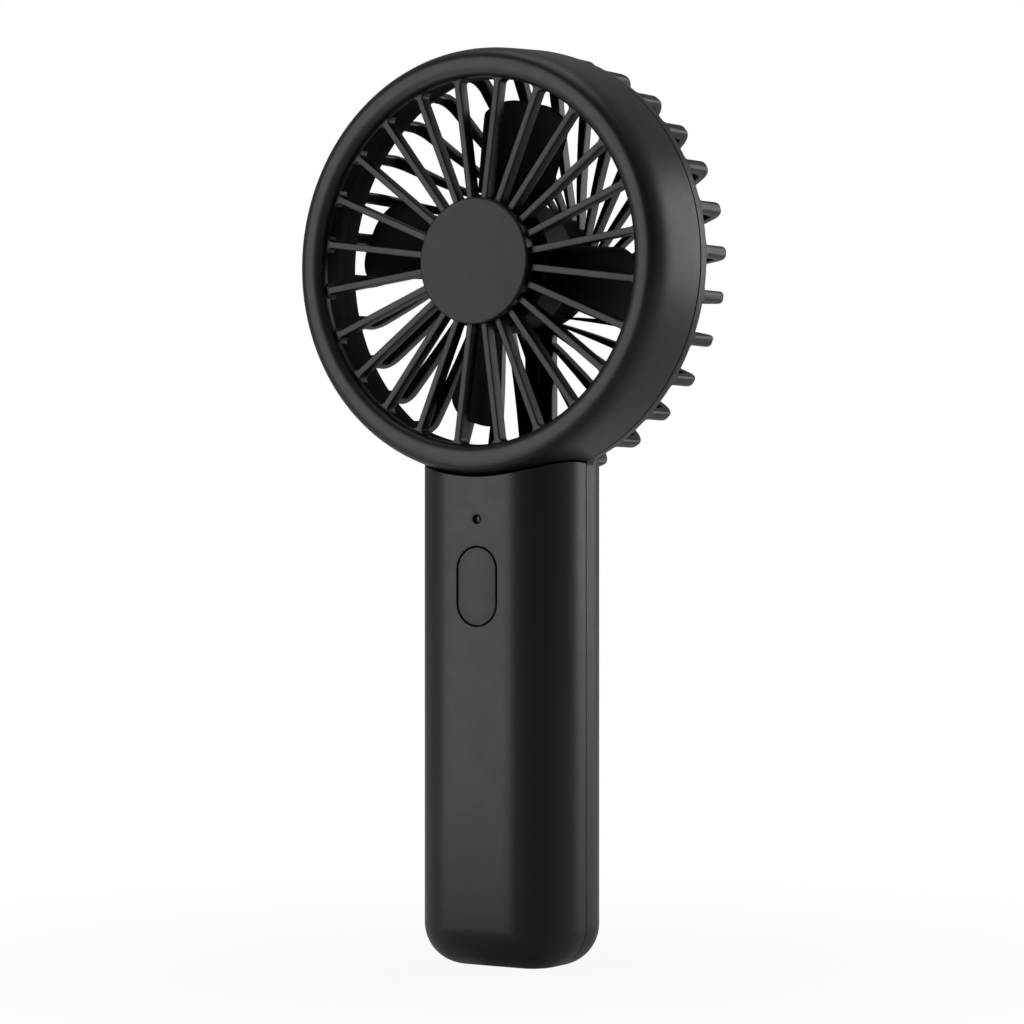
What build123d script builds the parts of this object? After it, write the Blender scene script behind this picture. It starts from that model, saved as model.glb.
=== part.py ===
from build123d import *
import os
from math import cos, radians, sin, sqrt, tan

# Rechargeable handheld fan that stands on the flat end of its handle.
# Millimetres, +Z up, the fan blows towards -Y. All pieces are drawn with the seam
# between the front and rear mouldings on y = 0 and are moved back once at the end.

# Head ring and front grille
RING_RADIUS = 47.15          # outside of the ring at the seam, its widest place
RING_FLARE = 0.95            # how much the ring narrows from the seam to the lip
RING_DEPTH = 16.8            # seam to the crest of the lip
LIP_WIDTH = 6.6              # radial width of the half-round lip
RING_WALL = 2.8
COLLAR_LENGTH = 4.2          # straight bore behind the lip
STEP_LENGTH = 1.4            # sloped step from the collar out to the duct
SPOKE_COUNT = 24
SPOKE_WIDTH = 1.5
SPOKE_DEPTH = 3.0
SPOKE_ROOT = 0.8             # how far the spokes' plate reaches into the lip
WINDOW_CORNER = 1.2          # corner radius of the grille windows at the lip
CAP_RADIUS = 13.7
CAP_OVERHANG = 0.8           # cap's edge beyond the plate that the spokes join
CAP_THICKNESS = 1.6
CAP_RECESS = 0.75            # cap face behind the crest of the lip
CAP_EDGE = 0.5
SPIGOT_RADIUS = 8.0
SPIGOT_LENGTH = 2.0
SPIGOT_WALL = 1.4

# Seam between the mouldings: a narrow groove backed by a tongue
SEAM_GAP = 0.24
TONGUE_LENGTH = 1.6
TONGUE_WALL = 0.9
FIT = 0.1                    # clearance between pieces that push together
CLOSE_FIT = 0.03             # clearance of seats and running fits

# Rear band and swirl cage
BAND_DEPTH = 3.0
BAND_TAPER = 0.15            # how much the band narrows from the seam to its back
CAGE_INSET = 0.3             # ribs inside the widest place of the ring
CAGE_DEPTH = 14.0            # seam to the back of the cage
CAGE_CORNER = 2.2
RIB_COUNT = 30
RIB_PHASE = 2.5
RIB_STEP = 0.7               # inside of the ribs beyond the band's bore
RIB_WEB = 3.3                # axial thickness of the ribs' rear legs
RIB_ROOT_WIDTH = 2.7
RIB_TIP_WIDTH = 1.1
RIB_LEAN = 7.0               # degrees between a rib and the radius at its root
RIB_SWIRL = 40.0             # degrees that a rib turns on its way to the motor cup
MOTOR_CUP_WALL = 1.5
MOTOR_CUP_FLOOR = 2.0
MOTOR_CUP_DEPTH = 10.5
MOTOR_CUP_EDGE = 1.0
STRUT_WIDTH = 7.0
CHANNEL_WIDTH = 3.0
CHANNEL_DEPTH = 1.7
NECK_BLEND = 4.5             # concave blend between the rear band and the handle's sides

# Handle, as wide and deep as what it holds
HANDLE_CORNER = 12.0
HANDLE_WALL = 1.8
FACE_MARGIN = 1.775          # flat face on each side of the button
BASE_EDGE = 9.0
NECK_ROOM = 20.95            # top of the cell to the lowest point of the ring
NECK_WALL = 3.0
RING_CLEARANCE = 0.35        # gap between the ring and the handle's front half
CELL_CLEARANCE = 1.6         # back of the main board to the cell

# Button, light and switch
BUTTON_WIDTH = 10.25
BUTTON_LENGTH = 17.5
BUTTON_GAP = 0.25
BUTTON_TRAVEL = 0.5
BUTTON_FLANGE = 1.1
BUTTON_FLANGE_THICKNESS = 0.8
BUTTON_EDGE = 0.3
LIGHT_DROP = 8.55            # light below the lowest point of the ring
LIGHT_SPACING = 14.5         # light above the middle of the button
LIGHT_RADIUS = 1.0
LIGHT_RECESS = 0.5
LIGHT_FLANGE = 0.9
LIGHT_FLANGE_THICKNESS = 0.8
LED_LENGTH = 1.6
LED_WIDTH = 1.2
LED_THICKNESS = 0.7
STEM_RADIUS = 1.6
STEM_LENGTH = 0.5
PLUNGER_RADIUS = 1.3
PLUNGER_PROUD = 0.7
PLUNGER_INSIDE = 0.8
SWITCH_SIZE = 6.0
SWITCH_THICKNESS = 2.0

# Boards and their screws
BOARD_THICKNESS = 1.2
BOARD_EDGE = 0.4             # boards beyond the leads along their sides
BOARD_ABOVE_LIGHT = 3.6
BOARD_BELOW_BUTTON = 4.15
POST_RADIUS = 2.0
POST_INSET = 2.6
SCREW_RADIUS = 0.8
SCREW_HEAD_RADIUS = 1.5
SCREW_HEAD_THICKNESS = 1.0
SCREW_LENGTH = 3.0
CHARGE_BOARD_HEIGHT = 9.6
CHARGE_BOARD_DEPTH = 14.0
CHARGE_BOARD_GAP = 2.2       # charging board to the back wall
SHELF_WIDTH = 3.4
SHELF_THICKNESS = 4.4
SHELF_SPACING = 13.0

# Charging socket
SOCKET_WIDTH = 8.94
SOCKET_HEIGHT = 3.26
SOCKET_LENGTH = 7.3
SOCKET_WALL = 0.3
SOCKET_RECESS = 0.5
SOCKET_CLEARANCE = 0.25
TONGUE_BLADE_WIDTH = 6.7
TONGUE_BLADE_HEIGHT = 0.7
TONGUE_BLADE_LENGTH = 4.6

# Battery
CELL_RADIUS = 9.1
CELL_LENGTH = 65.0
CELL_GAP = 5.94              # charging socket to the cell
CELL_NUB_RADIUS = 3.0
CELL_NUB_LENGTH = 1.0
CELL_EDGE = 0.8
STOP_WIDTH = 12.0
TAB_THICKNESS = 0.3
TAB_WIDTH = 6.0
TAB_EDGE = 1.5               # lower strip beyond the lead and the middle of the cell
LEAD_RADIUS = 0.6
LEAD_BEND = 3.0
LEAD_GAP = 0.4               # middle of a side lead beyond the cell's side
LEAD_FORWARD = 1.0           # side leads in front of the seam
LEAD_LANDING = 10.3          # side leads' ends above the lower edge of the main board

# Impeller
IMPELLER_GAP = 1.7           # spokes to the front of the impeller's hub
IMPELLER_RADIUS = 15.0
IMPELLER_LENGTH = 10.8
IMPELLER_WALL = 1.4
IMPELLER_EDGE = 1.2
BOSS_RADIUS = 3.0
BOSS_LENGTH = 2.4
BLADE_COUNT = 4
BLADE_PHASE = 78.0
BLADE_TIP_GAP = 4.1          # blades' tips inside the opening of the lip
BLADE_ROOT_CHORD = 15.5
BLADE_TIP_CHORD = 20.0
BLADE_ROOT_PITCH = 44.0
BLADE_TIP_PITCH = 27.0
BLADE_CAMBER = 0.07          # rise of the blade's curve as a share of its chord
BLADE_THICKNESS = 1.3
BLADE_RIM_THICKNESS = 0.6
BLADE_CORNER = 7.0

# Motor
SHAFT_RADIUS = 1.0
SHAFT_TAIL = 0.6
SHAFT_END_GAP = 1.25         # end of the shaft to the floor of the bearing tube
YOKE_WALL = 0.9
YOKE_INSET = 0.8             # yoke's rim inside the back of the impeller's hub
MAGNET_WALL = 1.6
MAGNET_LENGTH = 6.4
AIR_GAP = 0.4
STATOR_LENGTH = 4.2
STATOR_TEETH = 9
STATOR_RING = 1.6
TOOTH_WIDTH = 1.8
TOOTH_TIP_DEPTH = 1.0
SLOT_GAP = 1.4               # between the tips of neighbouring teeth
COIL_WALL = 0.85
TUBE_WALL = 1.2
TUBE_SHOULDER_STEP = 1.4
TUBE_LEDGE_STEP = 1.9
TUBE_LEDGE_THICKNESS = 1.2
TUBE_FLANGE_EDGE = 1.7       # flange beyond the circle of its screws
TUBE_FLANGE_THICKNESS = 2.0
TUBE_FRONT_GAP = 0.4         # impeller's boss to the bearing tube
TUBE_FLOOR = 1.4
BEARING_RADIUS = 3.0
BEARING_LENGTH = 3.5
BEARING_INSET = 0.4
CLIP_RADIUS = 2.2
CLIP_THICKNESS = 0.4
CLIP_GAP = 0.2
CLIP_GROOVE = 0.3
CLIP_MOUTH = 1.1
MOTOR_BOARD_GAP = 2.4        # stator to the motor's board
MOTOR_BOARD_EDGE = 0.4       # motor's board inside the bore of its cup
MOTOR_SCREW_COUNT = 3
MOTOR_SCREW_PHASE = 90.0
MOTOR_SCREW_ROOM = 0.2       # screw heads to the bearing tube
MOTOR_LEAD_RADIUS = 0.7
MOTOR_LEAD_INSET = 1.6       # motor lead inside the bore of the motor cup
MOTOR_LEAD_SPACE = 3.0       # room in the motor cup beside the bearing tube's flange
MOTOR_LEAD_LANDING = 3.9     # motor lead's end below the top of the main board

# Outside of the handle, from the stack of pieces inside it
FRONT_STACK = HANDLE_WALL + FIT + BUTTON_FLANGE_THICKNESS + STEM_LENGTH + PLUNGER_PROUD
BOARD_STACK = SWITCH_THICKNESS + BOARD_THICKNESS
CELL_STACK = CELL_CLEARANCE + 2 * CELL_RADIUS + FIT
HANDLE_DEPTH = FRONT_STACK + BOARD_STACK + CELL_STACK + HANDLE_WALL
HANDLE_WIDTH = BUTTON_WIDTH + 2 * (FACE_MARGIN + HANDLE_CORNER)

# Heights above the base
CHARGE_BOARD_TOP = CHARGE_BOARD_HEIGHT + BOARD_THICKNESS
SOCKET_CENTRE_Z = CHARGE_BOARD_TOP + SOCKET_HEIGHT / 2
CELL_LOW = CHARGE_BOARD_TOP + SOCKET_HEIGHT + CELL_GAP
CELL_HIGH = CELL_LOW + CELL_LENGTH
NECK_HEIGHT = CELL_HIGH + NECK_ROOM
HEAD_HEIGHT = NECK_HEIGHT + RING_RADIUS
LIGHT_HEIGHT = NECK_HEIGHT - LIGHT_DROP
BUTTON_HEIGHT = LIGHT_HEIGHT - LIGHT_SPACING
MAIN_BOARD_TOP = LIGHT_HEIGHT + BOARD_ABOVE_LIGHT
MAIN_BOARD_LOW = BUTTON_HEIGHT - BUTTON_LENGTH / 2 - BOARD_BELOW_BUTTON
POST_HEIGHTS = (MAIN_BOARD_LOW + POST_INSET, MAIN_BOARD_TOP - POST_INSET)
SIDE_LEAD_Z = MAIN_BOARD_LOW + LEAD_LANDING
MOTOR_LEAD_Z = MAIN_BOARD_TOP - MOTOR_LEAD_LANDING

# Radii about the fan axis
RING_FRONT_RADIUS = RING_RADIUS - RING_FLARE
LIP_ROUND = LIP_WIDTH / 2
LIP_INNER_RADIUS = RING_FRONT_RADIUS - LIP_WIDTH
DUCT_RADIUS = RING_FRONT_RADIUS - RING_WALL
REBATE_RADIUS = RING_RADIUS - RING_WALL + TONGUE_WALL
TONGUE_RADIUS = REBATE_RADIUS - FIT
HUB_PLATE_RADIUS = CAP_RADIUS - CAP_OVERHANG
BAND_REAR_RADIUS = RING_RADIUS - BAND_TAPER
BAND_BORE = DUCT_RADIUS + FIT
CAGE_RADIUS = RING_RADIUS - CAGE_INSET
CAGE_INNER_RADIUS = BAND_BORE + RIB_STEP
BLADE_TIP_RADIUS = LIP_INNER_RADIUS - BLADE_TIP_GAP
YOKE_RADIUS = IMPELLER_RADIUS - IMPELLER_WALL - CLOSE_FIT
MAGNET_RADIUS = YOKE_RADIUS - YOKE_WALL - CLOSE_FIT
STATOR_RADIUS = MAGNET_RADIUS - MAGNET_WALL - AIR_GAP
TUBE_RADIUS = BEARING_RADIUS + TUBE_WALL
TUBE_SHOULDER = TUBE_RADIUS + TUBE_SHOULDER_STEP
TUBE_LEDGE = TUBE_SHOULDER + TUBE_LEDGE_STEP
MOTOR_SCREW_CIRCLE = TUBE_SHOULDER + SCREW_HEAD_RADIUS + MOTOR_SCREW_ROOM
TUBE_FLANGE = MOTOR_SCREW_CIRCLE + TUBE_FLANGE_EDGE
CUP_BORE = TUBE_FLANGE + MOTOR_LEAD_SPACE
MOTOR_CUP_RADIUS = CUP_BORE + MOTOR_CUP_WALL
MOTOR_BOARD_RADIUS = CUP_BORE - MOTOR_BOARD_EDGE
MOTOR_LEAD_DROP = CUP_BORE - MOTOR_LEAD_INSET

# Depths behind the seam
LIP_Y = LIP_ROUND - RING_DEPTH
TONGUE_Y = -TONGUE_LENGTH
REBATE_Y = TONGUE_Y - FIT
HALF_GAP = SEAM_GAP / 2
CAP_Y = CAP_RECESS - RING_DEPTH
SPOKE_Y = CAP_Y + CAP_THICKNESS
SPOKE_REAR_Y = SPOKE_Y + SPOKE_DEPTH
WEB_Y = CAGE_DEPTH - RIB_WEB
CHANNEL_Y = WEB_Y + CHANNEL_DEPTH
CUP_FRONT_Y = CAGE_DEPTH - MOTOR_CUP_DEPTH
CUP_FLOOR_Y = CAGE_DEPTH - MOTOR_CUP_FLOOR
BACK_FACE_Y = HANDLE_DEPTH / 2
BACK_WALL_Y = BACK_FACE_Y - HANDLE_WALL
FRONT_FACE_Y = -BACK_FACE_Y
FRONT_WALL_Y = FRONT_FACE_Y + HANDLE_WALL
FLANGE_Y = FRONT_WALL_Y + FIT
STEM_Y = FLANGE_Y + BUTTON_FLANGE_THICKNESS
PLUNGER_Y = STEM_Y + STEM_LENGTH
SWITCH_Y = PLUNGER_Y + PLUNGER_PROUD
MAIN_BOARD_Y = SWITCH_Y + SWITCH_THICKNESS
MAIN_BOARD_REAR_Y = MAIN_BOARD_Y + BOARD_THICKNESS
CELL_Y = BACK_WALL_Y - FIT - CELL_RADIUS
SIDE_LEAD_Y = -LEAD_FORWARD
CHARGE_BOARD_REAR_Y = BACK_WALL_Y - CHARGE_BOARD_GAP
CHARGE_BOARD_FRONT_Y = CHARGE_BOARD_REAR_Y - CHARGE_BOARD_DEPTH
SOCKET_Y = BACK_FACE_Y - SOCKET_RECESS
IMPELLER_Y = SPOKE_REAR_Y + IMPELLER_GAP
IMPELLER_REAR_Y = IMPELLER_Y + IMPELLER_LENGTH
YOKE_Y = IMPELLER_Y + IMPELLER_WALL
YOKE_REAR_Y = IMPELLER_REAR_Y - YOKE_INSET
BOSS_REAR_Y = YOKE_Y + BOSS_LENGTH
MAGNET_Y = YOKE_REAR_Y - MAGNET_LENGTH
STATOR_Y = MAGNET_Y + (MAGNET_LENGTH - STATOR_LENGTH) / 2
STATOR_REAR_Y = STATOR_Y + STATOR_LENGTH
MOTOR_BOARD_Y = STATOR_REAR_Y + MOTOR_BOARD_GAP
MOTOR_BOARD_REAR_Y = MOTOR_BOARD_Y + BOARD_THICKNESS
TUBE_Y = BOSS_REAR_Y + TUBE_FRONT_GAP
TUBE_FLANGE_Y = CUP_FLOOR_Y - TUBE_FLANGE_THICKNESS
TUBE_FLOOR_Y = CUP_FLOOR_Y - TUBE_FLOOR
SHAFT_END_Y = TUBE_FLOOR_Y - SHAFT_END_GAP
CLIP_Y = SHAFT_END_Y - SHAFT_TAIL - CLIP_THICKNESS
FRONT_BEARING_Y = TUBE_Y + BEARING_INSET
REAR_BEARING_Y = CLIP_Y - CLIP_GAP - BEARING_LENGTH
MOTOR_LEAD_Y = CHANNEL_Y - MOTOR_LEAD_RADIUS - FIT
SEAM_OFFSET = (RING_DEPTH - max(BACK_FACE_Y, CAGE_DEPTH)) / 2

# Places across the handle
SIDE_LEAD_X = CELL_RADIUS + LEAD_GAP
BOARD_WIDTH = 2 * (SIDE_LEAD_X + LEAD_RADIUS + BOARD_EDGE)
POST_X = BOARD_WIDTH / 2 - POST_INSET

HEAD_AXIS = Axis((0, 0, HEAD_HEIGHT), (0, 1, 0))
HEAD_PROFILE = Plane((0, 0, HEAD_HEIGHT))    # x is the radius, y the depth behind the seam


def head_plane(depth):
    """Plane across the fan axis: x to the right and y up when seen from the front."""
    return Plane((0, depth, HEAD_HEIGHT), x_dir=(1, 0, 0), z_dir=(0, -1, 0))


def front_plane(depth, height):
    """Plane parallel to the handle's face at the given height on the centre line."""
    return Plane((0, depth, height), x_dir=(1, 0, 0), z_dir=(0, -1, 0))


def outlined(*lines):
    """Face inside a closed outline of lines and arcs."""
    return make_face([edge for line in lines for edge in line.edges()])


def turned(*outline):
    """Solid of revolution about the fan axis from a closed outline of radius and depth."""
    return revolve(HEAD_PROFILE * outlined(*outline), HEAD_AXIS)


def ring(inner, outer, start, end):
    """Plain tube or disc about the fan axis between two depths."""
    return turned(Polyline((inner, start), (outer, start), (outer, end), (inner, end), close=True))


def around_head(solid, count, phase=0.0):
    """Copies of a solid spaced evenly about the fan axis, counter-clockwise from the right."""
    step = 360 / count
    return [solid.rotate(HEAD_AXIS, -(phase + step * i)) for i in range(count)]


def block(x_size, y_from, y_to, z_from, z_to, x_mid=0.0):
    """Box given by its width, its depth range and its height range."""
    middle = (x_mid, (y_from + y_to) / 2, (z_from + z_to) / 2)
    return Pos(*middle) * Box(x_size, y_to - y_from, z_to - z_from)


def wire(radius, bends, *points):
    """Round lead along straight runs joined by tangent arcs."""
    path = FilletPolyline(*points, radius=bends)
    start = Plane(path @ 0, z_dir=path % 0)
    return sweep(start * Circle(radius), path=path)


def front_grille():
    """Lip ring with its collar and duct, and the plate of spokes cut by rounded windows."""
    collar_y = LIP_Y + COLLAR_LENGTH
    rim = turned(
        Line((RING_RADIUS, -HALF_GAP), (RING_FRONT_RADIUS, LIP_Y)),
        ThreePointArc(
            (RING_FRONT_RADIUS, LIP_Y),
            (RING_FRONT_RADIUS - LIP_ROUND, -RING_DEPTH),
            (LIP_INNER_RADIUS, LIP_Y),
        ),
        Polyline(
            (LIP_INNER_RADIUS, LIP_Y),
            (LIP_INNER_RADIUS, collar_y),
            (DUCT_RADIUS, collar_y + STEP_LENGTH),
            (DUCT_RADIUS, REBATE_Y),
            (REBATE_RADIUS, REBATE_Y),
            (REBATE_RADIUS, -HALF_GAP),
            (RING_RADIUS, -HALF_GAP),
        ),
    )
    plate = ring(SPIGOT_RADIUS + CLOSE_FIT, LIP_INNER_RADIUS + SPOKE_ROOT, SPOKE_Y, SPOKE_REAR_Y)
    half_pitch = radians(180 / SPOKE_COUNT)
    half_width = SPOKE_WIDTH / 2

    def beside_spoke(radius, side):
        along = sqrt(radius**2 - half_width**2)
        x = along * cos(half_pitch) + half_width * sin(half_pitch)
        z = along * sin(half_pitch) - half_width * cos(half_pitch)
        return (x, side * z)

    inner = HUB_PLATE_RADIUS
    outer = LIP_INNER_RADIUS
    window = outlined(
        Line(beside_spoke(inner, 1), beside_spoke(outer, 1)),
        ThreePointArc(beside_spoke(outer, 1), (outer, 0), beside_spoke(outer, -1)),
        Line(beside_spoke(outer, -1), beside_spoke(inner, -1)),
        ThreePointArc(beside_spoke(inner, -1), (inner, 0), beside_spoke(inner, 1)),
    )
    lip_corners = window.vertices().sort_by(Axis.X)[-2:]
    window = fillet(lip_corners, WINDOW_CORNER)
    cutter = extrude(head_plane(SPOKE_REAR_Y) * window, SPOKE_DEPTH)
    return rim + (plate - around_head(cutter, SPOKE_COUNT))


def centre_cap():
    """Round cap with a softened edge and a ring spigot that plugs into the hub plate."""
    disc = ring(0, CAP_RADIUS, CAP_Y, SPOKE_Y)
    rim_edge = disc.edges().filter_by(GeomType.CIRCLE).sort_by(Axis.Y)[0]
    disc = fillet(rim_edge, CAP_EDGE)
    return disc + ring(SPIGOT_RADIUS - SPIGOT_WALL, SPIGOT_RADIUS, SPOKE_Y, SPOKE_Y + SPIGOT_LENGTH)


def handle_core(inset):
    """Handle's rounded block, or the same block drawn in by an inset on every side."""
    section = RectangleRounded(
        HANDLE_WIDTH - 2 * inset, HANDLE_DEPTH - 2 * inset, HANDLE_CORNER - inset
    )
    top = HEAD_HEIGHT - RING_RADIUS / 2
    core = extrude(Pos(0, 0, inset) * section, top - inset)
    return fillet(core.faces().sort_by(Axis.Z)[0].edges(), BASE_EDGE - inset)


def below_ring(core, clearance):
    """Part of a handle block that clears the ring's flared side by the given distance."""
    reach = HANDLE_DEPTH
    flare = RING_FLARE / -LIP_Y
    cone = turned(
        Polyline(
            (0, -reach),
            (RING_RADIUS + clearance - flare * reach, -reach),
            (RING_RADIUS + clearance + flare * reach, reach),
            (0, reach),
            close=True,
        )
    )
    return core - cone


def below_cage(core, radius):
    """Part of a handle block that lies outside a cylinder about the fan axis."""
    return core - ring(0, radius, -HANDLE_DEPTH, HANDLE_DEPTH)


def slab(y_from, y_to):
    """Slice of space between two depths, large enough for the whole handle."""
    return block(2 * HANDLE_WIDTH, y_from, y_to, -BASE_EDGE, HEAD_HEIGHT)


def post(x, height):
    """Boss on the inside of the handle's face that carries the main board."""
    seat = front_plane(MAIN_BOARD_Y, height) * Pos(x, 0) * Circle(POST_RADIUS)
    return extrude(seat, MAIN_BOARD_Y - FRONT_WALL_Y + HANDLE_WALL / 2)


def screw_hole(x, height):
    hole = front_plane(MAIN_BOARD_Y, height) * Pos(x, 0) * Circle(SCREW_RADIUS + CLOSE_FIT)
    return extrude(hole, SCREW_LENGTH - BOARD_THICKNESS + FIT)


def post_places():
    return [(x, height) for height in POST_HEIGHTS for x in (-POST_X, POST_X)]


def handle_front_shell():
    """Front half of the handle with its board posts, button window and light hole."""
    outside = below_ring(handle_core(0), RING_CLEARANCE)
    inside = below_ring(handle_core(HANDLE_WALL), RING_CLEARANCE + HANDLE_WALL)
    rebate_core = handle_core(HANDLE_WALL - TONGUE_WALL - FIT)
    rebate = below_ring(rebate_core, RING_CLEARANCE + TONGUE_WALL - FIT)
    half = slab(-HANDLE_DEPTH, -HALF_GAP)
    shell = (outside - inside) & half
    shell -= rebate & slab(REBATE_Y, 0)
    for place in post_places():
        shell += post(*place) & outside
    for place in post_places():
        shell -= screw_hole(*place)
    window = SlotOverall(BUTTON_LENGTH, BUTTON_WIDTH, rotation=90)
    shell -= extrude(front_plane(FLANGE_Y, BUTTON_HEIGHT) * window, 2 * HANDLE_WALL)
    light = extrude(front_plane(FLANGE_Y, LIGHT_HEIGHT) * Circle(LIGHT_RADIUS), 2 * HANDLE_WALL)
    return shell - light


def rib():
    """One hooked rib: a curved wall across the cage trimmed to the cage's L profile."""
    start_radius = CAGE_RADIUS + RIB_ROOT_WIDTH
    end_radius = MOTOR_CUP_RADIUS - MOTOR_CUP_WALL / 2
    lean = radians(RIB_LEAN)
    swirl = radians(RIB_SWIRL)
    start = Vector(start_radius, 0)
    end = Vector(end_radius * cos(swirl), -end_radius * sin(swirl))
    leaving = Vector(-cos(lean), -sin(lean))
    chord = (end - start).normalized()
    arriving = chord * (2 * chord.dot(leaving)) - leaving

    def beside(point, along, offset):
        return point + Vector(-along.Y, along.X) * offset

    left = (beside(start, leaving, RIB_ROOT_WIDTH / 2), beside(end, arriving, RIB_TIP_WIDTH / 2))
    right = (beside(start, leaving, -RIB_ROOT_WIDTH / 2), beside(end, arriving, -RIB_TIP_WIDTH / 2))
    outline = outlined(
        TangentArc(*left, tangent=leaving),
        Line(left[1], right[1]),
        TangentArc(*right, tangent=leaving),
        Line(right[0], left[0]),
    )
    wall = extrude(head_plane(CAGE_DEPTH) * outline, CAGE_DEPTH)
    root_y = BAND_DEPTH / 2
    corner = CAGE_CORNER * (1 - cos(radians(45)))
    profile = turned(
        Polyline(
            (CAGE_RADIUS, CAGE_DEPTH - CAGE_CORNER),
            (CAGE_RADIUS, root_y),
            (CAGE_INNER_RADIUS, root_y),
            (CAGE_INNER_RADIUS, WEB_Y),
            (0, WEB_Y),
            (0, CAGE_DEPTH),
            (CAGE_RADIUS - CAGE_CORNER, CAGE_DEPTH),
        ),
        ThreePointArc(
            (CAGE_RADIUS - CAGE_CORNER, CAGE_DEPTH),
            (CAGE_RADIUS - corner, CAGE_DEPTH - corner),
            (CAGE_RADIUS, CAGE_DEPTH - CAGE_CORNER),
        ),
    )
    return wall & profile


def neck_blend(side):
    """Concave blend that fills the corner between the rear band and one side of the handle."""
    side_x = HANDLE_WIDTH / 2
    centre_x = side_x + NECK_BLEND
    reach = BAND_REAR_RADIUS + NECK_BLEND
    centre_z = -sqrt(reach**2 - centre_x**2)
    on_side = Vector(side_x, centre_z)
    on_band = Vector(centre_x, centre_z) * (BAND_REAR_RADIUS / reach)
    towards = ((on_side + on_band) * 0.5 - Vector(centre_x, centre_z)).normalized()
    middle = Vector(centre_x, centre_z) + towards * NECK_BLEND
    inside = Vector(side_x - NECK_BLEND / 2, on_band.Y)
    outline = outlined(
        ThreePointArc(on_side, middle, on_band),
        Polyline(on_band, inside, on_side),
    )
    blend = extrude(head_plane(BAND_DEPTH) * outline, BAND_DEPTH - HALF_GAP)
    return blend if side > 0 else blend.mirror(Plane.YZ)


def rear_housing():
    """Rear band, swirl cage, motor cup, lead strut and the back half of the handle."""
    band = turned(
        Polyline(
            (RING_RADIUS, HALF_GAP),
            (BAND_REAR_RADIUS, BAND_DEPTH),
            (BAND_BORE, BAND_DEPTH),
            (BAND_BORE, TONGUE_Y),
            (TONGUE_RADIUS, TONGUE_Y),
            (TONGUE_RADIUS, HALF_GAP),
            close=True,
        )
    )
    cup = ring(0, MOTOR_CUP_RADIUS, CUP_FRONT_Y, CAGE_DEPTH)
    cup = fillet(cup.edges().filter_by(GeomType.CIRCLE).sort_by(Axis.Y)[-1], MOTOR_CUP_EDGE)
    cup_space = ring(0, CUP_BORE, CUP_FRONT_Y, CUP_FLOOR_Y)

    outside = handle_core(0)
    inside = handle_core(HANDLE_WALL)
    half = slab(HALF_GAP, HANDLE_DEPTH)
    neck_radius = BAND_BORE + NECK_WALL
    handle = (below_cage(outside, BAND_BORE) - below_cage(inside, neck_radius)) & half
    tongue_outside = below_ring(handle_core(HANDLE_WALL - TONGUE_WALL), RING_CLEARANCE + TONGUE_WALL)
    tongue_inside = below_ring(inside, RING_CLEARANCE + HANDLE_WALL)
    tongue = (tongue_outside - tongue_inside) & slab(TONGUE_Y, HALF_GAP + HANDLE_WALL)

    strut_low = HEAD_HEIGHT - neck_radius
    strut = block(STRUT_WIDTH, WEB_Y, CAGE_DEPTH, strut_low, HEAD_HEIGHT - CUP_BORE)
    channel_low = strut_low - NECK_WALL
    channel_high = HEAD_HEIGHT - MOTOR_LEAD_DROP + MOTOR_LEAD_RADIUS
    channel = block(CHANNEL_WIDTH, WEB_Y, CHANNEL_Y, channel_low, channel_high)
    housing = band + handle + tongue + strut
    housing += [neck_blend(1), neck_blend(-1)]
    housing += around_head(rib(), RIB_COUNT, RIB_PHASE)
    housing = housing + cup - cup_space - channel
    housing += board_shelves() + cell_stops()
    for hole in motor_screw_holes():
        housing -= hole
    mouth = RectangleRounded(
        SOCKET_WIDTH + 2 * SOCKET_CLEARANCE,
        SOCKET_HEIGHT + 2 * SOCKET_CLEARANCE,
        SOCKET_HEIGHT / 2 + SOCKET_CLEARANCE - CLOSE_FIT,
    )
    socket_end_y = SOCKET_Y - SOCKET_LENGTH
    housing -= extrude(front_plane(HANDLE_DEPTH, SOCKET_CENTRE_Z) * mouth, HANDLE_DEPTH - socket_end_y)
    thread = Cylinder(SCREW_RADIUS + CLOSE_FIT, SCREW_LENGTH)
    for place in charge_screw_places():
        housing -= Pos(place.X, place.Y, CHARGE_BOARD_HEIGHT - SCREW_LENGTH / 2) * thread
    return housing


def board_shelves():
    """Two ribs on the back wall that carry the charging board."""
    low = CHARGE_BOARD_HEIGHT - SHELF_THICKNESS
    shelves = [
        block(SHELF_WIDTH, CHARGE_BOARD_FRONT_Y, BACK_FACE_Y, low, CHARGE_BOARD_HEIGHT, x)
        for x in (-SHELF_SPACING / 2, SHELF_SPACING / 2)
    ]
    return [shelf & handle_core(HANDLE_WALL / 2) for shelf in shelves]


def cell_stops():
    """Plates on the back wall below and above the cell."""
    under = CELL_LOW - TAB_THICKNESS
    over = CELL_HIGH + TAB_THICKNESS
    plates = [
        block(STOP_WIDTH, CELL_Y - CELL_NUB_RADIUS, BACK_FACE_Y, under - HANDLE_WALL, under),
        block(STOP_WIDTH, CELL_Y + CELL_NUB_RADIUS, BACK_FACE_Y, over, over + HANDLE_WALL),
    ]
    return [plate & handle_core(HANDLE_WALL / 2) for plate in plates]


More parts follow.
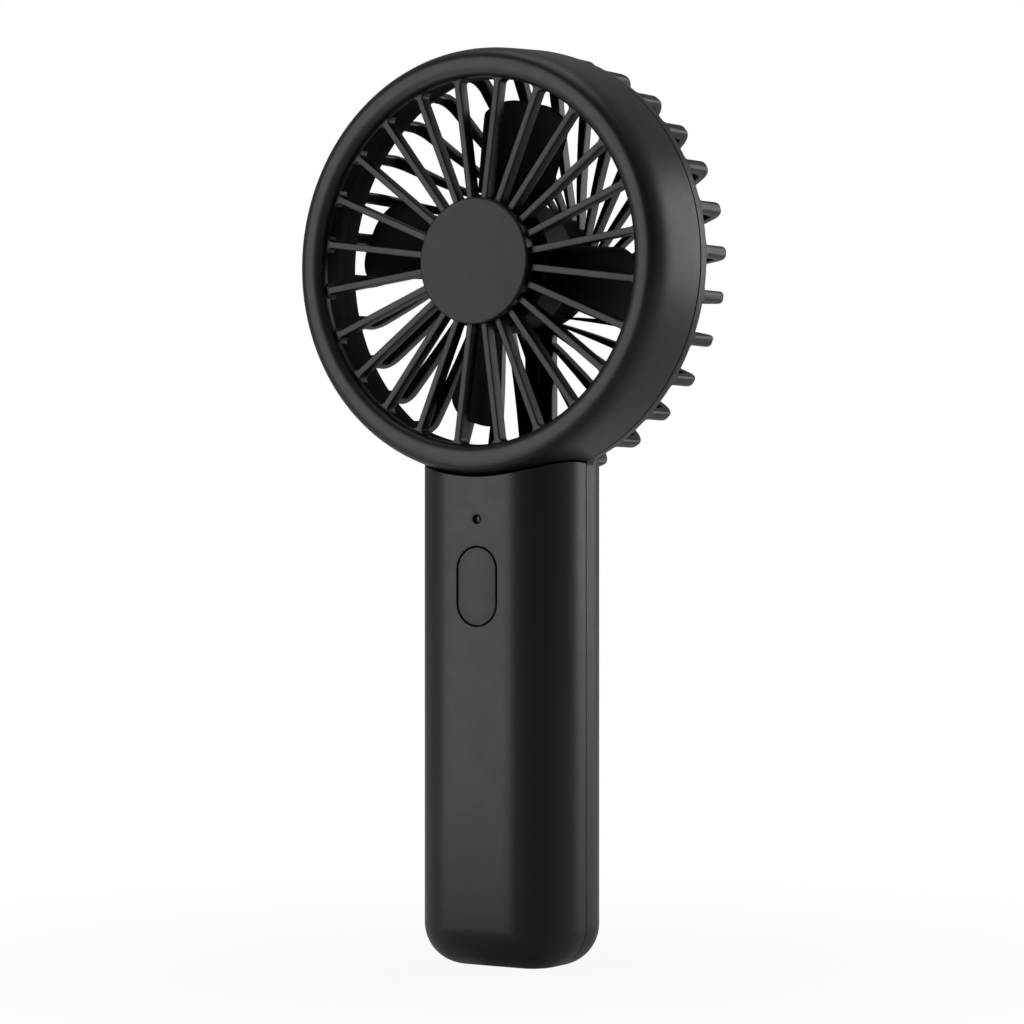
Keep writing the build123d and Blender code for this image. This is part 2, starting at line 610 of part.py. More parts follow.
def power_button():
    """Stadium button flush with the handle, with its retaining flange and stem."""
    width = BUTTON_WIDTH - 2 * BUTTON_GAP
    length = BUTTON_LENGTH - 2 * BUTTON_GAP
    face = front_plane(FLANGE_Y, BUTTON_HEIGHT) * SlotOverall(length, width, rotation=90)
    button = extrude(face, FLANGE_Y - FRONT_FACE_Y)
    button = fillet(button.faces().sort_by(Axis.Y)[0].edges(), BUTTON_EDGE)
    rim = 2 * BUTTON_FLANGE
    flange = SlotOverall(BUTTON_LENGTH + rim, BUTTON_WIDTH + rim, rotation=90)
    button += extrude(front_plane(STEM_Y, BUTTON_HEIGHT) * flange, BUTTON_FLANGE_THICKNESS)
    stem = front_plane(PLUNGER_Y, BUTTON_HEIGHT) * Circle(STEM_RADIUS)
    return button + extrude(stem, STEM_LENGTH)


def switch_plunger():
    rod = front_plane(SWITCH_Y + PLUNGER_INSIDE, BUTTON_HEIGHT) * Circle(PLUNGER_RADIUS)
    return extrude(rod, PLUNGER_PROUD + PLUNGER_INSIDE)


def tact_switch():
    """Square switch body with the well that its plunger slides in."""
    outline = front_plane(MAIN_BOARD_Y, BUTTON_HEIGHT) * Rectangle(SWITCH_SIZE, SWITCH_SIZE)
    body = extrude(outline, SWITCH_THICKNESS)
    depth = PLUNGER_INSIDE + BUTTON_TRAVEL + FIT
    well = front_plane(SWITCH_Y + depth, BUTTON_HEIGHT) * Circle(PLUNGER_RADIUS + CLOSE_FIT)
    return body - extrude(well, depth)


def main_pcb():
    """Control board behind the button, drilled for its four screws."""
    board = block(BOARD_WIDTH, MAIN_BOARD_Y, MAIN_BOARD_REAR_Y, MAIN_BOARD_LOW, MAIN_BOARD_TOP)
    for x, height in post_places():
        hole = front_plane(MAIN_BOARD_REAR_Y, height) * Pos(x, 0) * Circle(SCREW_RADIUS + CLOSE_FIT)
        board -= extrude(hole, BOARD_THICKNESS)
    return board


def led_chip():
    outline = front_plane(MAIN_BOARD_Y, LIGHT_HEIGHT) * Rectangle(LED_WIDTH, LED_LENGTH)
    return extrude(outline, LED_THICKNESS)


def led_lens():
    """Light pipe from just above the chip to a little below the handle's face."""
    tail_y = MAIN_BOARD_Y - LED_THICKNESS - FIT
    tip_y = FRONT_FACE_Y + LIGHT_RECESS
    tail = front_plane(tail_y, LIGHT_HEIGHT) * Circle(LIGHT_RADIUS - CLOSE_FIT)
    pipe = extrude(tail, tail_y - tip_y)
    flange_y = FRONT_WALL_Y + LIGHT_FLANGE_THICKNESS
    flange = front_plane(flange_y, LIGHT_HEIGHT) * Circle(LIGHT_RADIUS + LIGHT_FLANGE)
    return pipe + extrude(flange, LIGHT_FLANGE_THICKNESS)


def charge_screw_places():
    y = CHARGE_BOARD_FRONT_Y + POST_INSET
    return [Vector(-SHELF_SPACING / 2, y), Vector(SHELF_SPACING / 2, y)]


def charge_pcb():
    """Charging board that lies on the two shelves."""
    board = block(
        BOARD_WIDTH, CHARGE_BOARD_FRONT_Y, CHARGE_BOARD_REAR_Y, CHARGE_BOARD_HEIGHT, CHARGE_BOARD_TOP
    )
    hole = Cylinder(SCREW_RADIUS + CLOSE_FIT, 2 * BOARD_THICKNESS)
    for place in charge_screw_places():
        board -= Pos(place.X, place.Y, CHARGE_BOARD_TOP) * hole
    return board


def board_screws():
    """Pan-head screws of both boards."""
    thread = Pos(0, 0, -SCREW_LENGTH / 2) * Cylinder(SCREW_RADIUS, SCREW_LENGTH)
    head = Pos(0, 0, SCREW_HEAD_THICKNESS / 2) * Cylinder(SCREW_HEAD_RADIUS, SCREW_HEAD_THICKNESS)
    screw = thread + head
    towards_back = [
        Plane((x, MAIN_BOARD_REAR_Y, height), z_dir=(0, 1, 0)) * screw for x, height in post_places()
    ]
    upright = [Pos(place.X, place.Y, CHARGE_BOARD_TOP) * screw for place in charge_screw_places()]
    return towards_back + upright


def usb_socket():
    """Pressed metal shell of the charging socket, closed at its inner end."""
    outer = RectangleRounded(SOCKET_WIDTH, SOCKET_HEIGHT, SOCKET_HEIGHT / 2 - CLOSE_FIT)
    inner = RectangleRounded(
        SOCKET_WIDTH - 2 * SOCKET_WALL,
        SOCKET_HEIGHT - 2 * SOCKET_WALL,
        SOCKET_HEIGHT / 2 - SOCKET_WALL - CLOSE_FIT,
    )
    mouth = front_plane(SOCKET_Y, SOCKET_CENTRE_Z)
    return extrude(mouth * outer, SOCKET_LENGTH) - extrude(mouth * inner, SOCKET_LENGTH - SOCKET_WALL)


def usb_tongue():
    root_y = SOCKET_Y - SOCKET_LENGTH + SOCKET_WALL
    half = TONGUE_BLADE_HEIGHT / 2
    tip_y = root_y + TONGUE_BLADE_LENGTH
    return block(TONGUE_BLADE_WIDTH, root_y, tip_y, SOCKET_CENTRE_Z - half, SOCKET_CENTRE_Z + half)


def battery_cell():
    """Round cell with softened ends and the raised positive end."""
    can_length = CELL_LENGTH - CELL_NUB_LENGTH
    can = Pos(0, CELL_Y, CELL_LOW + can_length / 2) * Cylinder(CELL_RADIUS, can_length)
    can = fillet(can.edges().filter_by(GeomType.CIRCLE), CELL_EDGE)
    nub = Cylinder(CELL_NUB_RADIUS, CELL_NUB_LENGTH)
    return can + Pos(0, CELL_Y, CELL_HIGH - CELL_NUB_LENGTH / 2) * nub


def battery_tabs():
    """Welded strips on both ends of the cell."""
    half = TAB_WIDTH / 2
    reach = BOARD_WIDTH / 2
    low = block(
        reach + half,
        SIDE_LEAD_Y - TAB_EDGE,
        CELL_Y + TAB_EDGE,
        CELL_LOW - TAB_THICKNESS,
        CELL_LOW,
        (reach - half) / 2,
    )
    high = block(TAB_WIDTH, CELL_Y - half, CELL_Y + half, CELL_HIGH, CELL_HIGH + TAB_THICKNESS)
    return [low, high]


def battery_leads():
    """Leads from the cell's strips to the back of the main board."""
    top_height = CELL_HIGH + 2 * LEAD_BEND
    negative = wire(
        LEAD_RADIUS,
        LEAD_BEND,
        (SIDE_LEAD_X, SIDE_LEAD_Y, CELL_LOW),
        (SIDE_LEAD_X, SIDE_LEAD_Y, SIDE_LEAD_Z),
        (SIDE_LEAD_X, MAIN_BOARD_REAR_Y, SIDE_LEAD_Z),
    )
    positive = wire(
        LEAD_RADIUS,
        LEAD_BEND,
        (0, CELL_Y, CELL_HIGH + TAB_THICKNESS),
        (0, CELL_Y, top_height),
        (0, MAIN_BOARD_REAR_Y, top_height),
    )
    return [negative, positive]


def charge_lead():
    """Lead from the charging board to the back of the main board."""
    return wire(
        LEAD_RADIUS,
        LEAD_BEND,
        (-SIDE_LEAD_X, SIDE_LEAD_Y, CHARGE_BOARD_TOP),
        (-SIDE_LEAD_X, SIDE_LEAD_Y, SIDE_LEAD_Z),
        (-SIDE_LEAD_X, MAIN_BOARD_REAR_Y, SIDE_LEAD_Z),
    )


def blade_section(radius, chord, pitch):
    """Thin cambered section of a blade, square to its radius: its clockwise edge lies deeper."""
    depth = IMPELLER_Y + IMPELLER_LENGTH / 2
    turn = radians(pitch)
    place = Plane((radius, depth, HEAD_HEIGHT), x_dir=(0, sin(turn), -cos(turn)), z_dir=(1, 0, 0))
    half = chord / 2
    rise = chord * BLADE_CAMBER
    rim = BLADE_RIM_THICKNESS / 2
    middle = BLADE_THICKNESS / 2
    return place * outlined(
        ThreePointArc((-half, rim), (0, rise + middle), (half, rim)),
        Line((half, rim), (half, -rim)),
        ThreePointArc((half, -rim), (0, rise - middle), (-half, -rim)),
        Line((-half, -rim), (-half, rim)),
    )


def blade():
    """Twisted blade from the hub's wall to a rounded tip."""
    root = IMPELLER_RADIUS - IMPELLER_WALL / 2
    tip = BLADE_TIP_RADIUS + BLADE_RIM_THICKNESS
    sections = []
    for share in (0.0, 0.5, 1.0):
        sections.append(
            blade_section(
                root + share * (tip - root),
                BLADE_ROOT_CHORD + share * (BLADE_TIP_CHORD - BLADE_ROOT_CHORD),
                BLADE_ROOT_PITCH + share * (BLADE_TIP_PITCH - BLADE_ROOT_PITCH),
            )
        )
    plan_width = BLADE_TIP_CHORD * cos(radians(BLADE_TIP_PITCH))
    plan = Pos(BLADE_TIP_RADIUS / 2, 0) * RectangleRounded(BLADE_TIP_RADIUS, plan_width, BLADE_CORNER)
    rear = IMPELLER_Y + 2 * IMPELLER_LENGTH
    return loft(sections) & extrude(head_plane(rear) * plan, 3 * IMPELLER_LENGTH)


def impeller():
    """Cup-shaped hub with the shaft boss and the blades."""
    cup = ring(0, IMPELLER_RADIUS, IMPELLER_Y, IMPELLER_REAR_Y)
    cup = fillet(cup.edges().filter_by(GeomType.CIRCLE).sort_by(Axis.Y)[0], IMPELLER_EDGE)
    cup -= ring(0, IMPELLER_RADIUS - IMPELLER_WALL, YOKE_Y, IMPELLER_REAR_Y)
    cup += ring(0, BOSS_RADIUS, YOKE_Y, BOSS_REAR_Y)
    cup += around_head(blade(), BLADE_COUNT, BLADE_PHASE)
    return cup - ring(0, SHAFT_RADIUS, YOKE_Y, BOSS_REAR_Y)


def rotor_yoke():
    """Steel cup pressed into the impeller's hub."""
    floor = ring(BOSS_RADIUS + CLOSE_FIT, YOKE_RADIUS, YOKE_Y, YOKE_Y + YOKE_WALL)
    return floor + ring(YOKE_RADIUS - YOKE_WALL, YOKE_RADIUS, YOKE_Y, YOKE_REAR_Y)


def rotor_magnet():
    return ring(MAGNET_RADIUS - MAGNET_WALL, MAGNET_RADIUS, MAGNET_Y, YOKE_REAR_Y)


def motor_shaft():
    """Shaft with the groove that its clip sits in."""
    shaft = ring(0, SHAFT_RADIUS, YOKE_Y, SHAFT_END_Y)
    groove = ring(SHAFT_RADIUS - CLIP_GROOVE, 2 * SHAFT_RADIUS, CLIP_Y, CLIP_Y + CLIP_THICKNESS)
    return shaft - groove


def shaft_clip():
    """Open ring that holds the shaft behind its rear bearing."""
    bore = SHAFT_RADIUS - CLIP_GROOVE
    clip = ring(bore, CLIP_RADIUS, CLIP_Y, CLIP_Y + CLIP_THICKNESS)
    low = HEAD_HEIGHT - 2 * CLIP_RADIUS
    return clip - block(CLIP_MOUTH, CLIP_Y, CLIP_Y + CLIP_THICKNESS, low, HEAD_HEIGHT)


def stator_core():
    """Laminated core with its ring of T-shaped teeth."""
    hub = TUBE_RADIUS + CLOSE_FIT
    core = Circle(hub + STATOR_RING)
    root = hub + STATOR_RING / 2
    tooth = Pos((root + STATOR_RADIUS) / 2, 0) * Rectangle(STATOR_RADIUS - root, TOOTH_WIDTH)
    tip_inside = STATOR_RADIUS - TOOTH_TIP_DEPTH
    tip_width = 2 * tip_inside * tan(radians(180 / STATOR_TEETH)) - SLOT_GAP
    tip = Pos(tip_inside + TOOTH_TIP_DEPTH / 2, 0) * Rectangle(TOOTH_TIP_DEPTH, tip_width)
    for i in range(STATOR_TEETH):
        core += Rot(0, 0, i * 360 / STATOR_TEETH) * (tooth + tip)
    core = (core & Circle(STATOR_RADIUS)) - Circle(hub)
    return extrude(head_plane(STATOR_REAR_Y) * core, STATOR_LENGTH)


def stator_coils():
    """One rounded winding around each tooth."""
    inner = TUBE_RADIUS + STATOR_RING + 2 * FIT
    outer = STATOR_RADIUS - TOOTH_TIP_DEPTH - 2 * FIT
    middle = ((inner + outer) / 2, (STATOR_Y + STATOR_REAR_Y) / 2, HEAD_HEIGHT)
    side = Plane(middle, x_dir=(0, 1, 0), z_dir=(1, 0, 0))
    window = Rectangle(STATOR_LENGTH + 2 * CLOSE_FIT, TOOTH_WIDTH + 2 * CLOSE_FIT)
    winding = RectangleRounded(
        STATOR_LENGTH + 2 * COIL_WALL, TOOTH_WIDTH + 2 * COIL_WALL, COIL_WALL
    )
    coil = extrude(side * (winding - window), (outer - inner) / 2, both=True)
    return around_head(coil, STATOR_TEETH)


def bearing_tube():
    """Stepped tube that carries the stator, its board and the two bearings."""
    bore = BEARING_RADIUS + CLOSE_FIT
    ledge_y = MOTOR_BOARD_REAR_Y + TUBE_LEDGE_THICKNESS
    tube = turned(
        Polyline(
            (bore, TUBE_Y),
            (TUBE_RADIUS, TUBE_Y),
            (TUBE_RADIUS, STATOR_REAR_Y),
            (TUBE_SHOULDER, STATOR_REAR_Y),
            (TUBE_SHOULDER, MOTOR_BOARD_REAR_Y),
            (TUBE_LEDGE, MOTOR_BOARD_REAR_Y),
            (TUBE_LEDGE, ledge_y),
            (TUBE_SHOULDER, ledge_y),
            (TUBE_SHOULDER, TUBE_FLANGE_Y),
            (TUBE_FLANGE, TUBE_FLANGE_Y),
            (TUBE_FLANGE, CUP_FLOOR_Y),
            (0, CUP_FLOOR_Y),
            (0, TUBE_FLOOR_Y),
            (bore, TUBE_FLOOR_Y),
            close=True,
        )
    )
    for hole in motor_screw_holes():
        tube -= hole
    return tube


def bearing(start):
    """Plain sintered bush at the given depth."""
    return ring(SHAFT_RADIUS + CLOSE_FIT, BEARING_RADIUS, start, start + BEARING_LENGTH)


def front_bearing():
    return bearing(FRONT_BEARING_Y)


def rear_bearing():
    return bearing(REAR_BEARING_Y)


def motor_pcb():
    """Ring-shaped driver board on the bearing tube's ledge."""
    return ring(TUBE_SHOULDER + CLOSE_FIT, MOTOR_BOARD_RADIUS, MOTOR_BOARD_Y, MOTOR_BOARD_REAR_Y)


def motor_screw_holes():
    """Holes through the bearing tube's flange and into the floor of the motor cup."""
    place = head_plane(TUBE_FLANGE_Y) * Pos(MOTOR_SCREW_CIRCLE, 0)
    hole = extrude(place * Circle(SCREW_RADIUS + CLOSE_FIT), -(SCREW_LENGTH + FIT))
    return around_head(hole, MOTOR_SCREW_COUNT, MOTOR_SCREW_PHASE)


def motor_screws():
    """Screws that hold the bearing tube's flange to the floor of the motor cup."""
    place = head_plane(TUBE_FLANGE_Y) * Pos(MOTOR_SCREW_CIRCLE, 0)
    screw = extrude(place * Circle(SCREW_RADIUS), -SCREW_LENGTH)
    screw += extrude(place * Circle(SCREW_HEAD_RADIUS), SCREW_HEAD_THICKNESS)
    return around_head(screw, MOTOR_SCREW_COUNT, MOTOR_SCREW_PHASE)


def motor_lead():
    """Lead from the motor's board, down the strut's channel and forward to the main board."""
    start_z = HEAD_HEIGHT - MOTOR_LEAD_DROP
    return wire(
        MOTOR_LEAD_RADIUS,
        LEAD_BEND,
        (0, MOTOR_BOARD_REAR_Y, start_z),
        (0, MOTOR_LEAD_Y, start_z),
        (0, MOTOR_LEAD_Y, MOTOR_LEAD_Z),
        (0, MAIN_BOARD_REAR_Y, MOTOR_LEAD_Z),
    )


PIECES = [
    front_grille,
    centre_cap,
    rear_housing,
    handle_front_shell,
    power_button,
    switch_plunger,
    tact_switch,
    main_pcb,
    led_chip,
    led_lens,
    charge_pcb,
    board_screws,
    usb_socket,
    usb_tongue,
    battery_cell,
    battery_tabs,
    battery_leads,
    charge_lead,
    impeller,
    rotor_yoke,
    rotor_magnet,
    motor_shaft,
    shaft_clip,
    stator_core,
    stator_coils,
    bearing_tube,
    front_bearing,
    rear_bearing,
    motor_pcb,
    motor_screws,
    motor_lead,
]

os.makedirs("parts", exist_ok=True)
for piece in PIECES:
    made = piece()
    solids = made if isinstance(made, list) else [made]
    node = Compound(children=[Pos(0, SEAM_OFFSET, 0) * solid for solid in solids])
    export_step(node, os.path.join("parts", piece.__name__ + ".step"))
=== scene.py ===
from collections import namedtuple
from math import cos, pi, radians, sin, tan

import bmesh
import bpy
import numpy as np
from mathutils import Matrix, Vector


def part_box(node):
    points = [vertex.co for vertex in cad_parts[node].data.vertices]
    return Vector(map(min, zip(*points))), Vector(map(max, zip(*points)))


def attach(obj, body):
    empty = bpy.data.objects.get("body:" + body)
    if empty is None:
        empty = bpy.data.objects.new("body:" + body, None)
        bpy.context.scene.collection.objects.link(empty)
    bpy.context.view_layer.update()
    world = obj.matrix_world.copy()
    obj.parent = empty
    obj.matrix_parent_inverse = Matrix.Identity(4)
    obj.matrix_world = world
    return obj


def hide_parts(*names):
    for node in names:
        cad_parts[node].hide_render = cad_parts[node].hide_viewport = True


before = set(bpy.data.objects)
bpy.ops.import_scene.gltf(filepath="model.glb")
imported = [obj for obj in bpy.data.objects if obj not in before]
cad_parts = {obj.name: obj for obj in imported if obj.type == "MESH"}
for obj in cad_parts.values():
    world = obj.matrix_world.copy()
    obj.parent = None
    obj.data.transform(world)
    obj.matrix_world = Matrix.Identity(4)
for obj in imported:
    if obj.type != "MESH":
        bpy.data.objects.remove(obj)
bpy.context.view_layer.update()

# Handheld fan on a pale studio floor. Metres and degrees, +Z up, the fan blows towards -Y.
# Radii are measured from the fan axis, and depths backwards from the seam between the mouldings.
MM = 0.001
MERGE = 0.001 * MM           # points closer than this become one
NOUGHT_DECIMALS = 9          # decimals to which a sine of nought is nought
SHARP_ANGLE = 50.0           # angle between faces beyond which an edge stays sharp
SEAM_GAP = 0.24 * MM         # between the ring and the rear band, as in the solids
HALF_GAP = SEAM_GAP / 2

# Places read from the solids
grille_low, grille_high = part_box("front_grille")
cap_low, cap_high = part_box("centre_cap")
shell_low, shell_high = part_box("handle_front_shell")
button_low, button_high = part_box("power_button")
lens_low, lens_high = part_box("led_lens")
socket_low, socket_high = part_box("usb_socket")
SEAM_Y = grille_high.y + HALF_GAP
HEAD_Z = (cap_low.z + cap_high.z) / 2
RING_RADIUS = (grille_high.x - grille_low.x) / 2
RING_DEPTH = SEAM_Y - grille_low.y
CAP_RADIUS = (cap_high.x - cap_low.x) / 2
CAP_Y = cap_low.y - SEAM_Y
HALF_WIDTH = (shell_high.x - shell_low.x) / 2
HALF_DEPTH = SEAM_Y - shell_low.y
BUTTON_Z = (button_low.z + button_high.z) / 2
LENS_Y = lens_low.y - SEAM_Y
LENS_REAR_Y = lens_high.y - SEAM_Y
LIGHT_Z = (lens_low.z + lens_high.z) / 2
SOCKET_Z = (socket_low.z + socket_high.z) / 2
SOCKET_Y = socket_high.y - SEAM_Y
SOCKET_INNER_Y = socket_low.y - SEAM_Y
SOCKET_RADIUS = (socket_high.z - socket_low.z) / 2
SOCKET_HALF = (socket_high.x - socket_low.x) / 2

# Ring, spokes and cap
RING_FLARE = 0.95 * MM       # by how much the ring is wider at the seam than at its lip
LIP_WIDTH = 6.6 * MM
LIP_OUTER_DEPTH = 7.5 * MM   # length along the fan axis of the lip's oval outer side
LIP_INNER_ROUND = 3.1 * MM   # radial reach of its inner side
LIP_INNER_DEPTH = 3.0 * MM
LIP_POWER = 3.0              # power of both ovals: 2 is an ellipse, more is squarer
RING_WALL = 2.8 * MM
COLLAR_LENGTH = 4.2 * MM
STEP_LENGTH = 1.4 * MM
TONGUE_LENGTH = 1.6 * MM
TONGUE_WALL = 0.9 * MM
FIT = 0.1 * MM
EDGE = 0.18 * MM             # softened edge of the mouldings
SPOKE_COUNT = 24
SPOKE_WIDTH = 1.5 * MM
SPOKE_DEPTH = 3.0 * MM
SPOKE_EDGE = 0.2 * MM
SPOKE_ROOT = 0.8 * MM        # how far a spoke reaches into the lip
WINDOW_CORNER = 1.2 * MM
CAP_THICKNESS = 1.6 * MM
CAP_EDGE = 0.5 * MM
HUB_PLATE_RADIUS = 12.9 * MM
SPIGOT_RADIUS = 8.0 * MM

# Rear band, swirl cage and motor cup
BAND_DEPTH = 3.0 * MM
BAND_TAPER = 0.15 * MM
CAGE_INSET = 0.3 * MM
CAGE_DEPTH = 14.0 * MM
CAGE_CORNER = 3.2 * MM
RIB_COUNT = 30
RIB_PHASE = 2.5
RIB_STEP = 1.2 * MM          # from the band's bore out to the ribs' inner side
RIB_WEB = 3.3 * MM           # depth of the ribs across the back
RIB_ROOT_WIDTH = 2.7 * MM
RIB_TIP_WIDTH = 1.1 * MM
RIB_LEAN = 7.0               # from the radius, where a rib's arc starts
RIB_SWIRL = 40.0             # turn about the fan axis from there to the cup
RIB_EDGE = 0.95 * MM         # most rounding of the ribs' edges
RIB_ROUNDING = 0.85          # and its share of their half width where they are narrow
RIB_INNER_CORNER = 2.4 * MM
RIB_CROWN = 0.3 * MM         # ribs' rear corners behind the cup's back
RIB_ROOT_FILLET = 1.5 * MM
CUP_BORE = 12.0 * MM
CUP_WALL = 1.5 * MM
CUP_FLOOR = 2.0 * MM
CUP_DEPTH = 10.5 * MM
CUP_EDGE = 1.0 * MM
STRUT_WIDTH = 7.0 * MM
STRUT_EDGE = 0.8 * MM
CHANNEL_WIDTH = 3.0 * MM
CHANNEL_DEPTH = 1.7 * MM
NECK_BLEND = 2.0 * MM

# Handle, button, light and socket
HANDLE_CORNER = 12.0 * MM
HANDLE_WALL = 1.8 * MM
HANDLE_SKIN = 0.45 * MM      # thin enough to stay inside the sharp corners under the ring
HANDLE_EDGE = 0.1 * MM
HANDLE_GAP = 0.08 * MM       # from the seam to the edge of each half
SEAM_LIP_WALL = 0.8 * MM     # lip inside the handle that closes its seam
SEAM_LIP_REACH = 1.0 * MM    # and how far it reaches to each side of the seam
BASE_EDGE = 9.0 * MM
RING_CLEARANCE = 0.35 * MM   # from the ring to the handle's front half
BORE_CLEARANCE = 0.05 * MM   # from the band's bore out to the top of the handle's rear half
PANEL_MARGIN = 1.75 * MM     # panel of the face above and below the button's window
MOUTH_MARGIN = 1.0 * MM      # panel of the back above and below the socket's mouth
BUTTON_WIDTH = 10.25 * MM
BUTTON_LENGTH = 17.5 * MM
BUTTON_GAP = 0.25 * MM
BUTTON_FLANGE = 1.1 * MM
BUTTON_FLANGE_THICKNESS = 0.8 * MM
BUTTON_EDGE = 0.3 * MM
LIGHT_RADIUS = 1.0 * MM
LENS_DOME = 0.3 * MM
CLOSE_FIT = 0.03 * MM
SOCKET_WALL = 0.3 * MM
SOCKET_CLEARANCE = 0.25 * MM

# Impeller
IMPELLER_RADIUS = 15.0 * MM
IMPELLER_GAP = 1.7 * MM
IMPELLER_LENGTH = 10.8 * MM
IMPELLER_WALL = 1.4 * MM
IMPELLER_EDGE = 1.2 * MM
BLADE_COUNT = 4
BLADE_PHASE = 78.0
BLADE_TIP_GAP = 4.1 * MM
BLADE_ROOT_CHORD = 15.5 * MM
BLADE_TIP_CHORD = 20.0 * MM
BLADE_ROOT_PITCH = 36.0
BLADE_TIP_PITCH = 18.0
BLADE_CAMBER = 0.07          # rise of the camber line as a share of the chord
BLADE_THICKNESS = 1.3 * MM
BLADE_RIM = 0.6 * MM         # thickness at a blade's edges
BLADE_BLUNTNESS = 8          # power of the oval that rounds them: 2 is an ellipse
BLADE_CORNER = 7.0 * MM

# Points and cells of the grids
HEAD_POINTS = 192            # round the ring, the band and the cap
MOTOR_POINTS = 128           # round the motor cup and the impeller's hub
LENS_POINTS = 48             # round the light pipe
STADIUM_POINTS = 96          # round the button and the socket
BLADE_POINTS = 48            # round a blade's section
EDGE_CELLS = 5               # along a small rounded edge
SHOWN_EDGE_CELLS = 8         # along a rounded edge that shows well
RING_EDGE_CELLS = 12         # along the ring's edges
LIP_POINTS = 24              # along each side of the lip
SPOKE_CORNER_POINTS = 4      # along each corner of a spoke's section
SPOKE_ROWS = 8
SPOKE_ROOT_ROWS = 9
RIB_CORNER_POINTS = 6        # along each corner of a rib's section
RIB_ROOT_ROWS = 5
RIB_BEND_ROWS = 9
RIB_ARM_ROWS = 14
SWIRL_SAMPLES = 200
STRUT_ROWS = 12
NECK_POINTS = 12
FACE_CELLS = 28              # across the flat of the handle's face
CORNER_CELLS = 16            # round each of its corners
SIDE_CELLS = 3               # from a corner to the seam
BASE_ROWS = 14               # round the fillet under the handle
SHELL_CELL = 5.0 * MM        # height of the cells on the plain parts of the handle
BUTTON_PANEL_CELLS = 28
LIGHT_PANEL_CELLS = 10
MOUTH_PANEL_CELLS = 12
PANEL_RINGS = 5
BUTTON_EDGE_ROWS = 6
DOME_ROWS = 9
BLADE_ROWS = 16
BLADE_TIP_ROWS = 14

# Worked out from the sizes above
RING_FRONT_RADIUS = RING_RADIUS - RING_FLARE
RING_SLOPE = RING_FLARE / (RING_DEPTH - LIP_WIDTH / 2)
LIP_Y = LIP_WIDTH / 2 - RING_DEPTH
LIP_INNER_RADIUS = RING_FRONT_RADIUS - LIP_WIDTH
DUCT_RADIUS = RING_FRONT_RADIUS - RING_WALL
REBATE_RADIUS = RING_RADIUS - RING_WALL + TONGUE_WALL
BAND_BORE = DUCT_RADIUS + FIT
BAND_REAR_RADIUS = RING_RADIUS - BAND_TAPER
CAGE_RADIUS = RING_RADIUS - CAGE_INSET
CAGE_INNER_RADIUS = BAND_BORE + RIB_STEP
WEB_Y = CAGE_DEPTH - RIB_WEB
CUP_RADIUS = CUP_BORE + CUP_WALL
RIB_END_RADIUS = CUP_RADIUS - CUP_WALL / 2
SPOKE_Y = CAP_Y + CAP_THICKNESS
SPOKE_REAR_Y = SPOKE_Y + SPOKE_DEPTH
IMPELLER_Y = SPOKE_REAR_Y + IMPELLER_GAP
IMPELLER_REAR_Y = IMPELLER_Y + IMPELLER_LENGTH
IMPELLER_BORE = IMPELLER_RADIUS - IMPELLER_WALL
BLADE_TIP_RADIUS = LIP_INNER_RADIUS - BLADE_TIP_GAP
CORE_X = HALF_WIDTH - HANDLE_CORNER
CORE_DEPTH = HALF_DEPTH - HANDLE_CORNER
FACE_FIRST = SIDE_CELLS + CORNER_CELLS
FACE_LAST = FACE_FIRST + FACE_CELLS
SADDLE_RADIUS = RING_RADIUS + RING_CLEARANCE
BUTTON_CORE = (BUTTON_LENGTH - BUTTON_WIDTH) / 2
BUTTON_PANEL_LOW = BUTTON_Z - BUTTON_LENGTH / 2 - PANEL_MARGIN
BUTTON_PANEL_HIGH = BUTTON_Z + BUTTON_LENGTH / 2 + PANEL_MARGIN
LIGHT_PANEL_HIGH = 2 * LIGHT_Z - BUTTON_PANEL_HIGH
MOUTH_RADIUS = SOCKET_RADIUS + SOCKET_CLEARANCE
MOUTH_CORE = SOCKET_HALF + SOCKET_CLEARANCE - MOUTH_RADIUS
MOUTH_PANEL_LOW = SOCKET_Z - MOUTH_RADIUS - MOUTH_MARGIN
MOUTH_PANEL_HIGH = SOCKET_Z + MOUTH_RADIUS + MOUTH_MARGIN


# Grids and pieces

def grid_faces(rows, columns, wrap_rows=False, wrap_columns=False):
    """Quads between neighbours of a rows by columns grid; a wrapped direction closes on itself."""
    row = np.arange(rows if wrap_rows else rows - 1)
    column = np.arange(columns if wrap_columns else columns - 1)
    row, column = np.meshgrid(row, column, indexing="ij")
    next_row = (row + 1) % rows
    next_column = (column + 1) % columns
    corners = [(row, column), (row, next_column), (next_row, next_column), (next_row, column)]
    return np.stack([at_row * columns + at_column for at_row, at_column in corners], -1).reshape(-1, 4)


def patch(points, wrap_rows=False, wrap_columns=False):
    """A grid of points, or a stack of equal grids, with its quads."""
    rows, columns = points.shape[-3:-1]
    stack = points.reshape(-1, rows * columns, 3)
    faces = grid_faces(rows, columns, wrap_rows, wrap_columns)
    shift = (np.arange(len(stack)) * rows * columns)[:, None, None]
    return stack.reshape(-1, 3), (faces[None] + shift).reshape(-1, 4)


